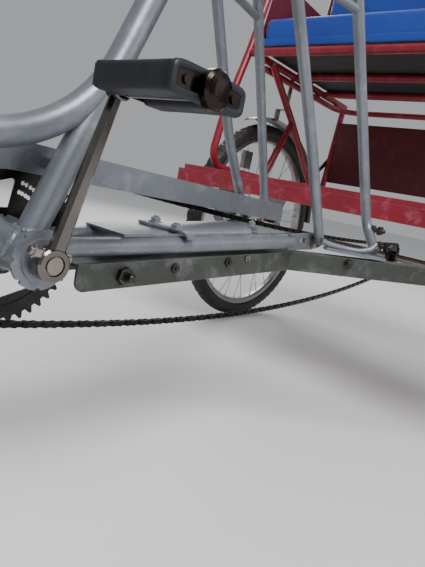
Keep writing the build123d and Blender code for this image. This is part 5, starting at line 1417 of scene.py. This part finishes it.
    @staticmethod
    def bead(surface: Surface, angle: float, radius: float = 0.0145, shell_radius: float = 0.0222,
             bead_radius: float = 0.0035) -> None:
        """Adds a lumpy bead where a round tube meets the crank shell.

        The bead follows the tube's circle; at each angle it lies at the root of shell radius squared less
        tube radius squared times cosine squared along the tube from the crank axis.
        """
        axis = np.array([cos(radians(angle)), 0.0, sin(radians(angle))])
        fore = np.array([axis[2], 0.0, -axis[0]])
        turn = full_turn(120)
        away = np.sqrt(np.maximum(shell_radius ** 2 - (radius * np.cos(turn)) ** 2, 1e-6))[:, None]
        path = (at(0, 0, CRANK_UP) + away * axis + radius * np.cos(turn)[:, None] * fore
                + radius * np.sin(turn)[:, None] * np.array([0.0, 1.0, 0.0]))
        lumps = bead_radius * (1 + 0.09 * np.sin(turn * 23) + 0.08 * np.sin(turn * 9 + 1.0))
        surface.grid(swept(path, lumps, 8, closed=True), close_u=True, close_v=True)


# Studio

@dataclass
class Studio:
    """Pale floor, soft lights and the photograph's camera."""

    yaw: float = radians(38.2)
    pitch: float = radians(10.7)
    roll: float = radians(11.5)
    focal_pixels: float = 484.9
    photo_height: float = 567.0
    sensor: float = 36.0
    stand: Place = (-0.2455, 0.4339, 0.4111)
    floor_size: float = 60.0
    lamps: tuple[tuple[str, Place, float, float], ...] = (
        ("key", (1.2, 2.4, 4.0), 2.4, 260.0), ("fill", (-2.2, 3.4, 2.2), 3.0, 30.0),
        ("rim", (-2.8, -3.0, 3.0), 2.6, 90.0),
    )
    aim_point: Place = (-0.1, 0.0, 0.5)
    sky_strength: float = 0.45

    def build(self) -> None:
        """Makes the floor, the lights and the camera."""
        self.floor()
        self.lights()
        self.camera()

    def floor(self) -> None:
        """Flat pale floor under the wheels."""
        mesh = bpy.data.meshes.new("floor")
        half = self.floor_size / 2
        corners = [(-half, -half, 0), (half, -half, 0), (half, half, 0), (-half, half, 0)]
        mesh.from_pydata(corners, [], [(0, 1, 2, 3)])
        floor = new_object("floor", mesh)
        material, _, surface, _ = new_material("pale_floor")
        surface.inputs["Base Color"].default_value = (0.74, 0.74, 0.73, 1.0)
        surface.inputs["Roughness"].default_value = 0.7
        mesh.materials.append(material)

    def lights(self) -> None:
        """One large key light, two fills and an even pale world."""
        for name, place, size, power in self.lamps:
            data = bpy.data.lights.new(name, "AREA")
            data.shape, data.size, data.energy = "DISK", size, power
            lamp = new_object(name, data)
            lamp.location = place
            aim = Vector(self.aim_point) - Vector(place)
            lamp.rotation_euler = aim.to_track_quat("-Z", "Y").to_euler()
        world = bpy.data.worlds.new("studio")
        world.use_nodes = True
        sky = world.node_tree.nodes["Background"]
        sky.inputs["Color"].default_value = (0.86, 0.88, 0.92, 1.0)
        sky.inputs["Strength"].default_value = self.sky_strength
        bpy.context.scene.world = world

    def camera(self) -> None:
        """Camera with the photograph's place, turn and lens."""
        ahead = np.array([-cos(self.yaw), -sin(self.yaw), 0.0])
        side = np.array([-sin(self.yaw), cos(self.yaw), 0.0])
        upright = np.array([0.0, 0.0, 1.0])
        look = ahead * cos(self.pitch) - upright * sin(self.pitch)
        down = -(ahead * sin(self.pitch) + upright * cos(self.pitch))
        right = cos(self.roll) * side - sin(self.roll) * down
        below = sin(self.roll) * side + cos(self.roll) * down
        data = bpy.data.cameras.new("photo_camera")
        data.sensor_width = self.sensor
        data.lens = self.focal_pixels / self.photo_height * self.sensor
        data.clip_start = 0.01
        camera = new_object("photo_camera", data)
        turn = Matrix([right, -below, -look]).transposed()
        camera.matrix_world = Matrix.Translation(at(*self.stand)) @ turn.to_4x4()
        bpy.context.scene.camera = camera


def dress_nodes() -> None:
    """Gives every CAD node its finish."""
    for finish, names in NODE_FINISHES.items():
        for name in names:
            coat(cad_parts[name].data, finish)
    LOG.info("dressed %d nodes", sum(len(names) for names in NODE_FINISHES.values()))


def main() -> None:
    """Builds the sub-assemblies in order."""
    logging.basicConfig(level=logging.INFO, format="%(name)s: %(message)s")
    Effects.build()
    dress_nodes()
    Cushion("seat_cushion", "seat_cushion_cover", rest=0.8354).build()
    Cushion("back_cushion", "back_cushion_cover", forward=0.0015).build()
    Cushion("saddle", "saddle_cover", held=0.4, finish=Finish.SADDLE, fill=0.9, shrink=0.002, voxel=0.005,
            swell=0.005).build()
    CushionLip().build()
    Grips().build()
    for node, name, body in (("front_tyre", "front_tread", Body.FRONT_WHEEL),
                             ("tyre_right", "right_tread", Body.REAR_AXLE),
                             ("tyre_left", "left_tread", Body.WHEEL_LEFT)):
        Tyre(node, name, body).build()
    WheelTrim("front_wheel", Body.FRONT_WHEEL, ()).build()
    WheelTrim("wheel_right", Body.REAR_AXLE, (-0.582,)).build()
    WheelTrim("wheel_left", Body.WHEEL_LEFT, (0.582,)).build()
    Chain().build()
    for side, inner in ((1, 0.047), (-1, 0.053)):
        Crank(side, inner).build()
        PedalRubber(side).build()
    Hardware().build()
    Studio().build()


if __name__ == "__main__":
    main()
